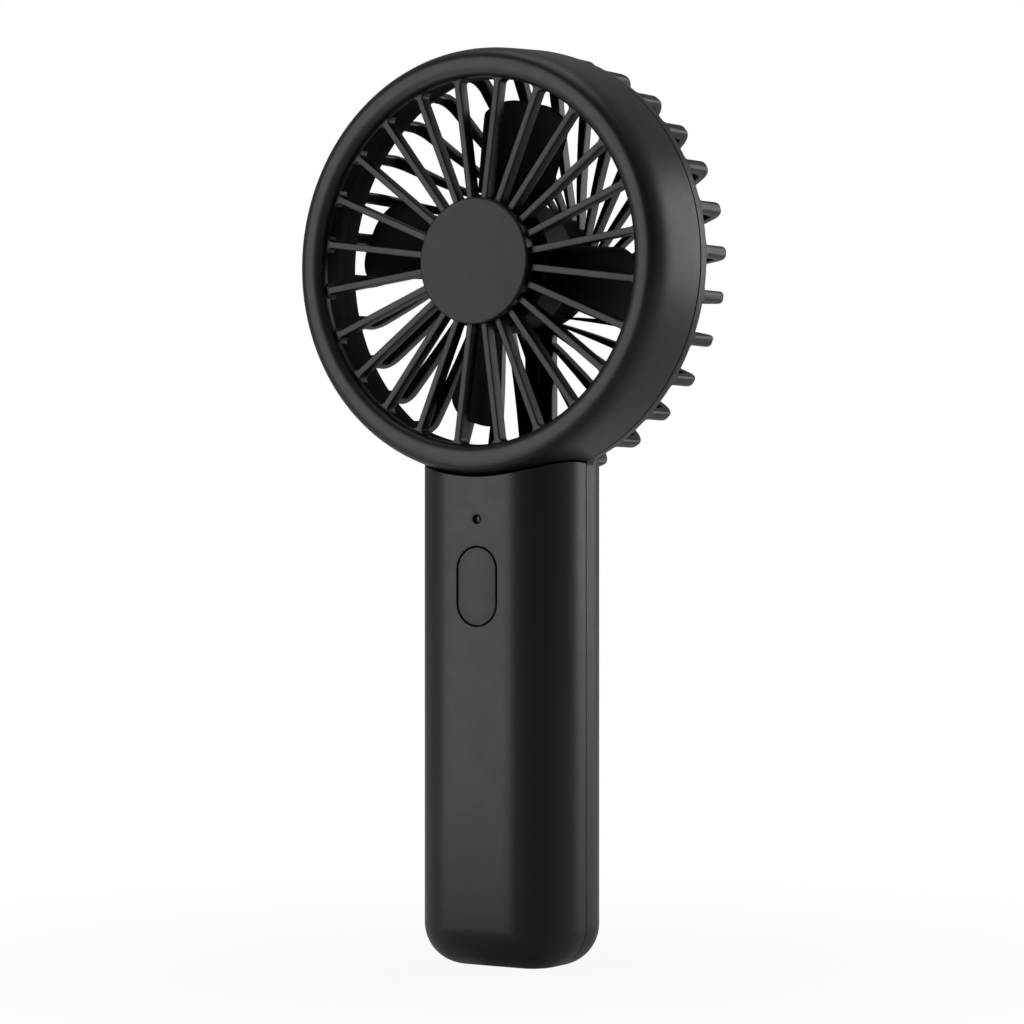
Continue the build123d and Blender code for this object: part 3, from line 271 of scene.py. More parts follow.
def piece(name, patches, material, body="housing", facing=None):
    """Object made of patches: shared points are merged and all faces are turned outwards.

    An open skin is turned so that its furthest face in the facing direction looks that way."""
    starts = np.cumsum([0] + [len(points) for points, _ in patches])
    points = np.concatenate([points for points, _ in patches])
    faces = np.concatenate([faces + start for (_, faces), start in zip(patches, starts)])
    mesh = bpy.data.meshes.new(name)
    mesh.from_pydata(points.tolist(), [], faces.tolist())
    work = bmesh.new()
    work.from_mesh(mesh)
    bmesh.ops.remove_doubles(work, verts=work.verts, dist=MERGE)
    bmesh.ops.dissolve_degenerate(work, edges=work.edges, dist=MERGE)
    bmesh.ops.recalc_face_normals(work, faces=work.faces)
    if facing is not None:
        outermost = max(work.faces, key=lambda face: face.calc_center_median().dot(facing))
        if outermost.normal.dot(facing) < 0:
            bmesh.ops.reverse_faces(work, faces=work.faces)
    for face in work.faces:
        face.smooth = True
    work.to_mesh(mesh)
    work.free()
    mesh.set_sharp_from_angle(angle=radians(SHARP_ANGLE))
    made = bpy.data.objects.new(name, mesh)
    bpy.context.scene.collection.objects.link(made)
    mesh.materials.append(material)
    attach(made, body)
    return made


def paint_shade_inside(*pieces):
    """Painted shade on the faces towards the air, a darker colour with a rougher finish: inside the ribs'
    inner radius, behind the lip and before the back of the cage."""
    for made in pieces:
        faces = made.data.polygons
        middles = np.empty(3 * len(faces))
        faces.foreach_get("center", middles)
        x, y, z = middles.reshape(-1, 3).T
        radius = np.hypot(x, z - HEAD_Z)
        depth = y - SEAM_Y
        inside = (radius < CAGE_INNER_RADIUS + EDGE) & (depth > LIP_Y) & (depth < WEB_Y + EDGE)
        made.data.materials.append(DUCT_SHADE)
        faces.foreach_set("material_index", inside.astype(np.int32))


def in_turn(*stages):
    """Lists of values along a path of stages that follow each other.

    A stage gives one value or one array for each list, and a single value holds for the whole stage."""
    return np.concatenate([np.stack(np.broadcast_arrays(*stage)) for stage in stages], axis=1)


def rounded(corners, cells=EDGE_CELLS):
    """Closed outline whose corners (x, y, radius) become arcs tangent to both neighbours, turned evenly
    about a centre on the bisector."""
    parts = []
    for i, (x, y, radius) in enumerate(corners):
        here = np.array([x, y])
        if radius == 0:
            parts.append(here[None])
            continue
        back = np.array(corners[i - 1][:2]) - here
        ahead = np.array(corners[(i + 1) % len(corners)][:2]) - here
        back = back / np.linalg.norm(back)
        ahead = ahead / np.linalg.norm(ahead)
        half = np.arccos(np.clip(back @ ahead, -1, 1)) / 2
        middle = (back + ahead) / np.linalg.norm(back + ahead)
        centre = here + middle * radius / sin(half)
        start = here + back * radius / tan(half) - centre
        end = here + ahead * radius / tan(half) - centre
        sweep = pi - 2 * half
        share = np.linspace(0, 1, cells + 1)[:, None]
        arc = (np.sin((1 - share) * sweep) * start + np.sin(share * sweep) * end) / sin(sweep)
        parts.append(centre + arc)
    return np.concatenate(parts)


def turned(outline, count=HEAD_POINTS, height=HEAD_Z):
    """Surface of revolution: an outline of (radius, depth) carried round an axis along Y at a height."""
    angle = np.linspace(0, 2 * pi, count, endpoint=False)[:, None]
    radius = outline[None, :, 0]
    depth = outline[None, :, 1] + 0 * angle
    points = np.stack([radius * np.cos(angle), SEAM_Y + depth, height + radius * np.sin(angle)], -1)
    return patch(points, wrap_rows=True, wrap_columns=True)


def on_head(along, across, depth):
    """Points from head coordinates: along +X and across +Z of the fan axis, depth behind the seam."""
    return np.stack(np.broadcast_arrays(along, SEAM_Y + depth, HEAD_Z + across), -1)


def around_head(points, count, first):
    """Copies of a grid spaced evenly about the fan axis, counter-clockwise from the front, from a first
    turn on."""
    turn = np.radians(first + 360 / count * np.arange(count))[:, None, None]
    x = points[None, ..., 0]
    z = points[None, ..., 2] - HEAD_Z
    turned_x = x * np.cos(turn) - z * np.sin(turn)
    turned_z = x * np.sin(turn) + z * np.cos(turn)
    y = np.broadcast_to(points[None, ..., 1], turned_x.shape)
    return np.stack([turned_x, y, HEAD_Z + turned_z], -1)


def closed_ends(points):
    """A tube's grid with one more row at each end, drawn in to the middle of that end."""
    first = np.broadcast_to(points[:1].mean(1, keepdims=True), points[:1].shape)
    last = np.broadcast_to(points[-1:].mean(1, keepdims=True), points[-1:].shape)
    return np.concatenate([first, points, last])


def round_section(half_width, height, radius, corner_points):
    """Rounded rectangle at each station: side offsets and heights, as stations by points."""
    angle = np.linspace(0, pi / 2, corner_points)
    angle = np.concatenate([angle + quarter * pi / 2 for quarter in range(4)])
    right = np.repeat([True, False, False, True], corner_points)
    upper = np.repeat([True, True, False, False], corner_points)
    middle = np.where(right, half_width[:, None] - radius, radius - half_width[:, None])
    side = middle + radius * np.cos(angle)
    rise = np.where(upper, height[:, None] - radius, radius) + radius * np.sin(angle)
    return side, rise


# Materials

GRAIN_STRENGTH = 0.35
MOTTLE_RANGE = (0.3, 0.7)    # values of the mottle that give the least and the most roughness


def new_material(name):
    """Material with its node tree and its shader."""
    made = bpy.data.materials.new(name)
    made.use_nodes = True
    return made, made.node_tree, made.node_tree.nodes["Principled BSDF"]


def tune(node, values):
    """Set a node's inputs by their names."""
    for name, value in values.items():
        node.inputs[name].default_value = value


def moulding_group():
    """Fine spark-eroded grain of moulded plastic: a grain height, a slow tone and a mottle."""
    group = bpy.data.node_groups.new("moulding_grain", "ShaderNodeTree")
    group.interface.new_socket("Grain Scale", in_out="INPUT", socket_type="NodeSocketFloat")
    for name in ("Height", "Tone", "Mottle"):
        group.interface.new_socket(name, in_out="OUTPUT", socket_type="NodeSocketFloat")
    nodes = group.nodes
    links = group.links
    entry = nodes.new("NodeGroupInput")
    leave = nodes.new("NodeGroupOutput")
    place = nodes.new("ShaderNodeTexCoord")
    grain = nodes.new("ShaderNodeTexNoise")
    tune(grain, {"Detail": 3.0, "Roughness": 0.6})
    tone = nodes.new("ShaderNodeTexNoise")
    tune(tone, {"Scale": 22.0, "Detail": 2.0})
    mottle = nodes.new("ShaderNodeTexNoise")
    tune(mottle, {"Scale": 260.0, "Detail": 4.0})
    for noise in (grain, tone, mottle):
        links.new(place.outputs["Object"], noise.inputs["Vector"])
    links.new(entry.outputs["Grain Scale"], grain.inputs["Scale"])
    links.new(grain.outputs["Fac"], leave.inputs["Height"])
    links.new(tone.outputs["Fac"], leave.inputs["Tone"])
    links.new(mottle.outputs["Fac"], leave.inputs["Mottle"])
    return group


GRAIN = moulding_group()


def plastic(name, dark, light, roughness, grain_scale, grain_depth, specular=0.5):
    """Moulded plastic: colour drifts between two tones, roughness follows the mottle, fine grain bump."""
    made, tree, shader = new_material(name)
    grain = tree.nodes.new("ShaderNodeGroup")
    grain.node_tree = GRAIN
    tune(grain, {"Grain Scale": grain_scale})
    colour = tree.nodes.new("ShaderNodeMix")
    colour.data_type = "RGBA"
    tune(colour, {"A": (*dark, 1), "B": (*light, 1)})
    rough = tree.nodes.new("ShaderNodeMapRange")
    tune(rough, {"From Min": MOTTLE_RANGE[0], "From Max": MOTTLE_RANGE[1]})
    tune(rough, {"To Min": roughness[0], "To Max": roughness[1]})
    bump = tree.nodes.new("ShaderNodeBump")
    tune(bump, {"Strength": GRAIN_STRENGTH, "Distance": grain_depth})
    tune(shader, {"Specular IOR Level": specular})
    tree.links.new(grain.outputs["Tone"], colour.inputs["Factor"])
    tree.links.new(grain.outputs["Mottle"], rough.inputs["Value"])
    tree.links.new(grain.outputs["Height"], bump.inputs["Height"])
    tree.links.new(colour.outputs["Result"], shader.inputs["Base Color"])
    tree.links.new(rough.outputs["Result"], shader.inputs["Roughness"])
    tree.links.new(bump.outputs["Normal"], shader.inputs["Normal"])
    return made


def metal(name, dark, light, roughness):
    """Metal whose tone and polish drift slowly over the surface, with faint drawing marks."""
    made = plastic(name, dark, light, roughness, grain_scale=900.0, grain_depth=0.01 * MM)
    tune(made.node_tree.nodes["Principled BSDF"], {"Metallic": 1.0})
    return made


SHELL = plastic(
    "shell_plastic", dark=(0.0078, 0.0078, 0.0081), light=(0.0088, 0.0088, 0.0091),
    roughness=(0.36, 0.40), grain_scale=4200.0, grain_depth=0.02 * MM,
)
# Painted shade: the rougher finish is real, but the darker colour stands in for the shade inside the head
DUCT_SHADE = plastic(
    "duct_painted_shade", dark=(0.0030, 0.0030, 0.0031), light=(0.0036, 0.0036, 0.0037),
    roughness=(0.62, 0.70), grain_scale=2600.0, grain_depth=0.04 * MM, specular=0.1,
)
CAP = plastic(
    "cap_plastic", dark=(0.0090, 0.0090, 0.0093), light=(0.0096, 0.0096, 0.0099),
    roughness=(0.44, 0.47), grain_scale=5200.0, grain_depth=0.02 * MM,
)
BUTTON = plastic(
    "button_plastic", dark=(0.0085, 0.0085, 0.0088), light=(0.0095, 0.0095, 0.0098),
    roughness=(0.38, 0.42), grain_scale=5200.0, grain_depth=0.02 * MM,
)
BLADES = plastic(
    "impeller_plastic", dark=(0.0050, 0.0050, 0.0052), light=(0.0060, 0.0060, 0.0062),
    roughness=(0.46, 0.54), grain_scale=3200.0, grain_depth=0.01 * MM, specular=0.2,
)
LENS = plastic(
    "light_pipe", dark=(0.010, 0.010, 0.011), light=(0.016, 0.016, 0.017),
    roughness=(0.05, 0.09), grain_scale=2000.0, grain_depth=0.002 * MM,
)
SWITCH = plastic(
    "switch_plastic", dark=(0.012, 0.012, 0.012), light=(0.018, 0.018, 0.018),
    roughness=(0.4, 0.5), grain_scale=3000.0, grain_depth=0.01 * MM,
)
SLEEVE = plastic(
    "cell_sleeve", dark=(0.030, 0.090, 0.170), light=(0.036, 0.105, 0.190),
    roughness=(0.28, 0.36), grain_scale=900.0, grain_depth=0.01 * MM,
)
LEAD = plastic(
    "lead_sleeve", dark=(0.022, 0.022, 0.022), light=(0.032, 0.032, 0.032),
    roughness=(0.42, 0.5), grain_scale=1500.0, grain_depth=0.01 * MM,
)
BOARD = plastic(
    "board_mask", dark=(0.010, 0.055, 0.022), light=(0.014, 0.072, 0.030),
    roughness=(0.30, 0.40), grain_scale=1200.0, grain_depth=0.01 * MM,
)
MAGNET = plastic(
    "ferrite", dark=(0.030, 0.029, 0.028), light=(0.044, 0.042, 0.040),
    roughness=(0.6, 0.75), grain_scale=2600.0, grain_depth=0.03 * MM,
)
PHOSPHOR = plastic(
    "led_phosphor", dark=(0.72, 0.58, 0.16), light=(0.80, 0.66, 0.22),
    roughness=(0.35, 0.45), grain_scale=1800.0, grain_depth=0.01 * MM,
)
STEEL = metal("plated_steel", dark=(0.55, 0.55, 0.56), light=(0.64, 0.64, 0.65), roughness=(0.24, 0.34))
COPPER = metal("winding_copper", dark=(0.62, 0.27, 0.13), light=(0.74, 0.35, 0.18), roughness=(0.28, 0.38))
BRASS = metal("bearing_brass", dark=(0.58, 0.43, 0.19), light=(0.68, 0.52, 0.25), roughness=(0.32, 0.42))


# Front grille and cap

def quarter_oval(reach, depth):
    """Quarter of a squarish oval, side to crest, as steps in from the side and back from the crest."""
    turn = np.linspace(0, pi / 2, LIP_POINTS)
    inward = reach * (1 - np.cos(turn).clip(0) ** (2 / LIP_POWER))
    back = depth * (1 - np.sin(turn) ** (2 / LIP_POWER))
    return inward, back


def ring_surface():
    """Flared side wall that runs over a lip of two quarter ovals into the collar, the sloped step, the duct
    and the rebate that takes the tongue, carried round the fan axis."""
    collar_y = LIP_Y + COLLAR_LENGTH
    rebate_y = -TONGUE_LENGTH - FIT
    outer_reach = RING_RADIUS - RING_SLOPE * RING_DEPTH - LIP_INNER_RADIUS - LIP_INNER_ROUND
    inward, back = quarter_oval(outer_reach, LIP_OUTER_DEPTH)
    outside = RING_RADIUS - RING_SLOPE * (RING_DEPTH - back) - inward
    outward, inner_back = quarter_oval(LIP_INNER_ROUND, LIP_INNER_DEPTH)
    radii = np.concatenate([outside, (LIP_INNER_RADIUS + outward)[-2::-1]])
    depths = np.concatenate([back, inner_back[-2::-1]]) - RING_DEPTH
    lip = [(radius, depth, 0) for radius, depth in zip(radii, depths)]
    return turned(rounded([(RING_RADIUS, -HALF_GAP, EDGE)] + lip + [
        (LIP_INNER_RADIUS, collar_y, 2 * EDGE),
        (DUCT_RADIUS, collar_y + STEP_LENGTH, 2 * EDGE),
        (DUCT_RADIUS, rebate_y, 0),
        (REBATE_RADIUS, rebate_y, 0),
        (REBATE_RADIUS, -HALF_GAP, 0),
    ], RING_EDGE_CELLS))


def spoke_surface():
    """Rounded bar along a radius whose width grows by a quarter-round fillet where it meets the lip,
    repeated about the fan axis."""
    plain = np.linspace(HUB_PLATE_RADIUS - SPOKE_WIDTH, LIP_INNER_RADIUS - WINDOW_CORNER, SPOKE_ROWS)
    root = LIP_INNER_RADIUS - WINDOW_CORNER * np.cos(np.linspace(0, pi / 2, SPOKE_ROOT_ROWS))[1:]
    radius = np.concatenate([plain, root, [LIP_INNER_RADIUS + SPOKE_ROOT]])
    near = np.clip(radius - LIP_INNER_RADIUS + WINDOW_CORNER, 0, WINDOW_CORNER)
    half = SPOKE_WIDTH / 2 + WINDOW_CORNER - np.sqrt(WINDOW_CORNER**2 - near**2)
    height = np.full(len(half), SPOKE_DEPTH)
    side, rise = round_section(half, height, SPOKE_EDGE, SPOKE_CORNER_POINTS)
    bar = on_head(radius[:, None], side, SPOKE_REAR_Y - rise)
    half_pitch = 180 / SPOKE_COUNT
    return patch(around_head(closed_ends(bar), SPOKE_COUNT, half_pitch), wrap_columns=True)


def hub_plate_surface():
    """Flat ring under the cap that all the spokes join: a rounded rectangle carried round the fan axis."""
    return turned(rounded([
        (HUB_PLATE_RADIUS, SPOKE_Y, EDGE),
        (SPIGOT_RADIUS, SPOKE_Y, EDGE),
        (SPIGOT_RADIUS, SPOKE_REAR_Y, EDGE),
        (HUB_PLATE_RADIUS, SPOKE_REAR_Y, EDGE),
    ]))


def cap_surface():
    """Flat disc with a softened rim, carried round the fan axis."""
    return turned(rounded([
        (0, CAP_Y, 0),
        (CAP_RADIUS, CAP_Y, CAP_EDGE),
        (CAP_RADIUS, SPOKE_Y, EDGE),
        (0, SPOKE_Y, 0),
    ], SHOWN_EDGE_CELLS))


ring = piece("grille_ring", [ring_surface()], SHELL)
piece("grille_spokes", [spoke_surface(), hub_plate_surface()], SHELL)
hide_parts("front_grille")
cap = piece("cap_disc", [cap_surface()], CAP)
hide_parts("centre_cap")


# Rear housing: band, swirl ribs, motor cup, strut and neck

def band_surface():
    """Band behind the seam with the tongue that enters the ring, carried round the fan axis."""
    return turned(rounded([
        (RING_RADIUS, HALF_GAP, EDGE),
        (BAND_REAR_RADIUS, BAND_DEPTH, 2 * EDGE),
        (BAND_BORE, BAND_DEPTH, EDGE),
        (BAND_BORE, -TONGUE_LENGTH, EDGE),
        (REBATE_RADIUS - FIT, -TONGUE_LENGTH, EDGE),
        (REBATE_RADIUS - FIT, HALF_GAP, 0),
    ]))


def swirl_path(radius):
    """Points and side directions where a rib's arc crosses each radius.

    The arc leaves the rim at its lean and ends in the cup's wall, turned by the swirl."""
    lean = radians(RIB_LEAN)
    swirl = radians(RIB_SWIRL)
    start = np.array([CAGE_RADIUS + RIB_ROOT_WIDTH, 0.0])
    end = RIB_END_RADIUS * np.array([cos(swirl), -sin(swirl)])
    normal = np.array([sin(lean), -cos(lean)])
    chord = end - start
    bend = (chord @ chord) / (2 * chord @ normal)
    centre = start + bend * normal
    first = np.arctan2(*(start - centre)[::-1])
    last = np.arctan2(*(end - centre)[::-1])
    angle = first + np.linspace(0, 1, SWIRL_SAMPLES) * ((last - first + pi) % (2 * pi) - pi)
    arc = centre + abs(bend) * np.stack([np.cos(angle), np.sin(angle)], -1)
    reach = np.hypot(arc[:, 0], arc[:, 1])
    at = np.interp(radius, reach[::-1], angle[::-1])
    sides = np.stack([np.cos(at), np.sin(at)])
    return centre[:, None, None] + abs(bend) * sides, sides


def hook_side(rim, rear, corner):
    """Radii and depths along one side of a rib's hook: back from the band at the rim, round a quarter
    circle, and in to the cup with an even fall by the crown."""
    root = np.linspace(0, 1, RIB_ROOT_ROWS)
    bend = np.linspace(0, pi / 2, RIB_BEND_ROWS)
    inward = np.linspace(0, 1, RIB_ARM_ROWS)[1:]
    start = rim - corner
    return in_turn(
        (rim, [BAND_DEPTH / 2]),
        (rim, BAND_DEPTH + RIB_ROOT_FILLET * root),
        (start + corner * np.cos(bend), rear - corner + corner * np.sin(bend)),
        (start + inward * (RIB_END_RADIUS - start), rear - RIB_CROWN * inward),
    )


def rib_surface():
    """Hooked rib: a rounded section between the two sides of the hook, set on the swirl arc and repeated
    about the fan axis. It widens by a quarter-round fillet at the band and thins evenly to the cup."""
    outer_radius, outer_depth = hook_side(CAGE_RADIUS, CAGE_DEPTH + RIB_CROWN, CAGE_CORNER)
    inner_radius, inner_depth = hook_side(CAGE_INNER_RADIUS, WEB_Y, RIB_INNER_CORNER)
    height = np.hypot(outer_radius - inner_radius, outer_depth - inner_depth)
    share = (CAGE_RADIUS - outer_radius) / (CAGE_RADIUS - RIB_END_RADIUS)
    near = np.clip(1 - (outer_depth - BAND_DEPTH) / RIB_ROOT_FILLET, 0, 1)
    half = (RIB_ROOT_WIDTH + share * (RIB_TIP_WIDTH - RIB_ROOT_WIDTH)) / 2
    half = half + RIB_ROOT_FILLET * (1 - np.sqrt(1 - near**2))
    edge = np.minimum(RIB_EDGE, RIB_ROUNDING * half)
    side, rise = round_section(half, height, edge[:, None], RIB_CORNER_POINTS)
    level = rise / height[:, None]
    radius = inner_radius[:, None] + level * (outer_radius - inner_radius)[:, None]
    depth = inner_depth[:, None] + level * (outer_depth - inner_depth)[:, None]
    points, sides = swirl_path(radius)
    along, across = points + side * sides
    scale = radius / np.hypot(along, across)
    bar = on_head(along * scale, across * scale, depth)
    return patch(around_head(closed_ends(bar), RIB_COUNT, RIB_PHASE), wrap_columns=True)


def cup_surface():
    """Motor cup with a rounded rear edge and a flat floor, carried round the fan axis."""
    front = CAGE_DEPTH - CUP_DEPTH
    floor = CAGE_DEPTH - CUP_FLOOR
    return turned(rounded([
        (0, CAGE_DEPTH, 0),
        (CUP_RADIUS, CAGE_DEPTH, CUP_EDGE),
        (CUP_RADIUS, front, EDGE),
        (CUP_BORE, front, EDGE),
        (CUP_BORE, floor, EDGE),
        (0, floor, 0),
    ], SHOWN_EDGE_CELLS), MOTOR_POINTS)


def strut_surface():
    """Section with the lead's channel in its inner face, carried from the motor cup down to the handle.

    Its back rises towards the rim as the ribs' does, a close fit above them."""
    channel = CHANNEL_WIDTH / 2
    half = STRUT_WIDTH / 2
    section = rounded([
        (half, WEB_Y, STRUT_EDGE),
        (half, CAGE_DEPTH, STRUT_EDGE),
        (-half, CAGE_DEPTH, STRUT_EDGE),
        (-half, WEB_Y, STRUT_EDGE),
        (-channel, WEB_Y, EDGE),
        (-channel, WEB_Y + CHANNEL_DEPTH, EDGE),
        (channel, WEB_Y + CHANNEL_DEPTH, EDGE),
        (channel, WEB_Y, EDGE),
    ])
    share = np.linspace(0, 1, STRUT_ROWS)[:, None]
    drop = -CUP_BORE - share * (BAND_BORE + RING_WALL - CUP_BORE)
    back = section[:, 1] > WEB_Y + CHANNEL_DEPTH
    bar = on_head(section[:, 0], drop, section[:, 1] + back * (CLOSE_FIT + RIB_CROWN * share))
    return patch(closed_ends(bar), wrap_columns=True)


def neck_surface(side):
    """Concave fillet, extruded along Y, that fills the corner between the band and the handle's side.

    The rows are its inner edge and its arc at the front, then the arc and the edge at the back."""
    centre_x = HALF_WIDTH + NECK_BLEND
    reach = BAND_REAR_RADIUS + NECK_BLEND
    centre_z = -np.sqrt(reach**2 - centre_x**2)
    on_band = np.arctan2(-centre_z, -centre_x)
    turn = np.linspace(pi, on_band, NECK_POINTS)
    arc_x = centre_x + NECK_BLEND * np.cos(turn)
    arc_z = centre_z + NECK_BLEND * np.sin(turn)
    inside_x = HALF_WIDTH - NECK_BLEND / 2
    inside_z = arc_z[-1]
    fill = np.array([0, 1, 1, 0])
    depth = np.array([HALF_GAP, HALF_GAP, BAND_DEPTH, BAND_DEPTH])
    x = side * (inside_x + fill[:, None] * (arc_x - inside_x))
    z = inside_z + fill[:, None] * (arc_z - inside_z)
    points = on_head(x, z, depth[:, None])
    ends = [np.stack([points[:2, end], points[:1:-1, end]]) for end in (0, -1)]
    return [patch(points)] + [patch(end) for end in ends]


band = piece("rear_band", [band_surface()], SHELL)
ribs = piece("swirl_ribs", [rib_surface()], SHELL)
cup = piece("motor_cup", [cup_surface()], SHELL)
strut = piece("lead_strut", [strut_surface()], SHELL)
piece("neck_blends", neck_surface(1) + neck_surface(-1), SHELL)
# Painted shade on the inner faces of the ring, band, ribs, cup and strut
paint_shade_inside(ring, band, ribs, cup, strut)


# Handle

# Stadium hole in the flat of the handle: its height, the half spans of its core and its radius, then the
# lowest and highest level of the panel round it and the cells between them
Hole = namedtuple("Hole", "height half_x half_z radius low high cells")


def half_outline():
    """Half of the handle's outline from its right seam to its left one: skeleton points and normals.

    A point of the outline drawn in by d is its skeleton point plus (corner radius - d) times its normal."""
    side = np.linspace(HANDLE_GAP, CORE_DEPTH, SIDE_CELLS + 1)
    turn = np.linspace(0, pi / 2, CORNER_CELLS + 1)[1:]
    face = np.linspace(CORE_X, -CORE_X, FACE_CELLS + 1)[1:]
    x, out, angle = in_turn(
        (CORE_X, side, 0),
        (CORE_X, CORE_DEPTH, turn),
        (face, CORE_DEPTH, pi / 2),
        (-CORE_X, CORE_DEPTH, pi / 2 + turn),
        (-CORE_X, side[-2::-1], pi),
    )
    return x, out, np.cos(angle), np.sin(angle)


def wall_levels(holes):
    """Heights of the rows up the wall, from the top of the base fillet to the top of the highest panel."""
    bounds = sorted({BASE_EDGE} | {edge for hole in holes for edge in (hole.low, hole.high)})
    panel_cells = {hole.low: hole.cells for hole in holes}
    levels = [[BASE_EDGE]]
    for low, high in zip(bounds[:-1], bounds[1:]):
        plain_cells = max(1, round((high - low) / SHELL_CELL))
        levels.append(np.linspace(low, high, panel_cells.get(low, plain_cells) + 1)[1:])
    return np.concatenate(levels)


def skin_points(direction, top_radius, top_slope, levels):
    """Grid of points on one half of the handle: direction -1 is the front half and 1 the rear one.

    Rows run from the seam under the base, round the base fillet, up the wall and back over the saddle
    under the ring to the seam. Each row has an inset, a pull towards the seam, a height and a share of
    the way up to the saddle. Under the base and over the saddle the rows have the seam sides' spacing, so
    that they meet the walls point by point."""
    under = np.linspace(1, 0, SIDE_CELLS + 1)[:-1]
    fillet = np.linspace(0, pi / 2, BASE_ROWS)
    wall = levels[1:]
    top = levels[-1]
    climb_cells = max(2, round((HEAD_Z - top_radius - top) / SHELL_CELL))
    climb = np.linspace(0, 1, climb_cells + 1)[1:]
    over = np.linspace(0, 1, SIDE_CELLS + 1)[1:]
    inset, pull, base, share = in_turn(
        (BASE_EDGE, under, 0, 0),
        (BASE_EDGE * (1 - np.sin(fillet)), 0, BASE_EDGE * (1 - np.cos(fillet)), 0),
        (0, 0, wall, 0),
        (0, 0, top, climb),
        (0, over, top, 1),
    )[..., None]
    core_x, core_out, normal_x, normal_out = half_outline()
    x = core_x + (HANDLE_CORNER - inset) * normal_x
    out = core_out + (HANDLE_CORNER - inset) * normal_out
    across = np.linspace(1, -1, len(core_x) - 2 * SIDE_CELLS)
    even = np.concatenate([np.ones(SIDE_CELLS), across, -np.ones(SIDE_CELLS)])
    x = x + pull * ((HALF_WIDTH - inset) * even - x)
    out = out + pull * (HANDLE_GAP - out)
    saddle = HEAD_Z - np.sqrt((top_radius - top_slope * out) ** 2 - x**2)
    z = base + share * (saddle - base)
    return np.stack([x, SEAM_Y + direction * out, z], -1)


def hole_panel(points, hole, low_row):
    """Panel of the flat face: rings that pass evenly from its rectangle of grid points to the hole."""
    high_row = low_row + hole.cells
    loop = np.concatenate([
        points[low_row, FACE_FIRST:FACE_LAST],
        points[low_row:high_row, FACE_LAST],
        points[high_row, FACE_LAST:FACE_FIRST:-1],
        points[high_row:low_row:-1, FACE_FIRST],
    ])
    middle = np.array([0, hole.height])
    half = np.array([hole.half_x, hole.half_z])
    edge = loop[:, [0, 2]]
    core = np.clip(edge - middle, -half, half)
    away = edge - middle - core
    rim = middle + core + hole.radius * away / np.linalg.norm(away, axis=1, keepdims=True)
    share = np.linspace(0, 1, PANEL_RINGS + 1)[:, None, None]
    spread = edge * (1 - share) + rim * share
    y = np.full(spread.shape[:2], loop[0, 1])
    return patch(np.stack([spread[..., 0], y, spread[..., 1]], -1), wrap_columns=True)


def handle_surface(direction, top_radius, top_slope, holes):
    """Skin of one half of the handle: its grid and the panels round its holes.

    The grid has no faces under the panels, nor at the ends of the seam, where the rows' sides fold up."""
    levels = wall_levels(holes)
    points = skin_points(direction, top_radius, top_slope, levels)
    rows, columns = points.shape[:2]
    faces = grid_faces(rows, columns).reshape(rows - 1, columns - 1, 4)
    keep = np.ones((rows - 1, columns - 1), bool)
    for end in (keep[:SIDE_CELLS], keep[-SIDE_CELLS:]):
        end[:, :SIDE_CELLS] = False
        end[:, -SIDE_CELLS:] = False
    first_level_row = SIDE_CELLS + BASE_ROWS - 1
    panels = []
    for hole in holes:
        low_row = first_level_row + np.argmin(abs(levels - hole.low))
        keep[low_row:low_row + hole.cells, FACE_FIRST:FACE_LAST] = False
        panels.append(hole_panel(points, hole, low_row))
    return [(points.reshape(-1, 3), faces[keep])] + panels


def moulded_shell(name, patches, facing):
    """Skin thickened inwards, with its outer and inner edges rounded.

    The normals follow the large faces, so that flats stay flat beside narrow rounds."""
    made = piece(name, patches, SHELL, facing=facing)
    wall = made.modifiers.new("wall", "SOLIDIFY")
    wall.thickness = HANDLE_SKIN
    wall.offset = -1
    edges = made.modifiers.new("soft_edges", "BEVEL")
    edges.width = HANDLE_EDGE
    edges.segments = 3
    edges.limit_method = "ANGLE"
    edges.angle_limit = radians(SHARP_ANGLE)
    edges.use_clamp_overlap = False
    normals = made.modifiers.new("even_normals", "WEIGHTED_NORMAL")
    normals.keep_sharp = True
    return made


def seam_lip_path(inset):
    """Path inside the handle's outline: down one side from the saddle, round the base and up the other."""
    side = HALF_WIDTH - inset
    top = HEAD_Z - np.sqrt(SADDLE_RADIUS**2 - side**2)
    turn = np.linspace(0, pi / 2, BASE_ROWS)
    x = np.append(side, HALF_WIDTH - BASE_EDGE + (BASE_EDGE - inset) * np.cos(turn))
    z = np.append(top, BASE_EDGE - (BASE_EDGE - inset) * np.sin(turn))
    return np.stack([np.concatenate([x, -x[::-1]]), np.concatenate([z, z[::-1]])], -1)


def seam_lip_surface():
    """Flat strip across the seam, carried along two paths inside the handle, a wall apart."""
    outer = seam_lip_path(HANDLE_SKIN + CLOSE_FIT)
    inner = seam_lip_path(HANDLE_SKIN + CLOSE_FIT + SEAM_LIP_WALL)
    flat = np.stack([outer, outer, inner, inner], 1)
    y = SEAM_Y + SEAM_LIP_REACH * np.array([-1, 1, 1, -1]) + 0 * flat[..., 0]
    return patch(closed_ends(np.stack([flat[..., 0], y, flat[..., 1]], -1)), wrap_columns=True)


button_window = Hole(
    height=BUTTON_Z, half_x=0, half_z=BUTTON_CORE, radius=BUTTON_WIDTH / 2,
    low=BUTTON_PANEL_LOW, high=BUTTON_PANEL_HIGH, cells=BUTTON_PANEL_CELLS,
)
light_hole = Hole(
    height=LIGHT_Z, half_x=0, half_z=0, radius=LIGHT_RADIUS,
    low=BUTTON_PANEL_HIGH, high=LIGHT_PANEL_HIGH, cells=LIGHT_PANEL_CELLS,
)
socket_mouth = Hole(
    height=SOCKET_Z, half_x=MOUTH_CORE, half_z=0, radius=MOUTH_RADIUS,
    low=MOUTH_PANEL_LOW, high=MOUTH_PANEL_HIGH, cells=MOUTH_PANEL_CELLS,
)
front_skin = handle_surface(-1, SADDLE_RADIUS, RING_SLOPE, [button_window, light_hole])
front_shell = moulded_shell("handle_front", front_skin, (0, -1, 0))
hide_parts("handle_front_shell")
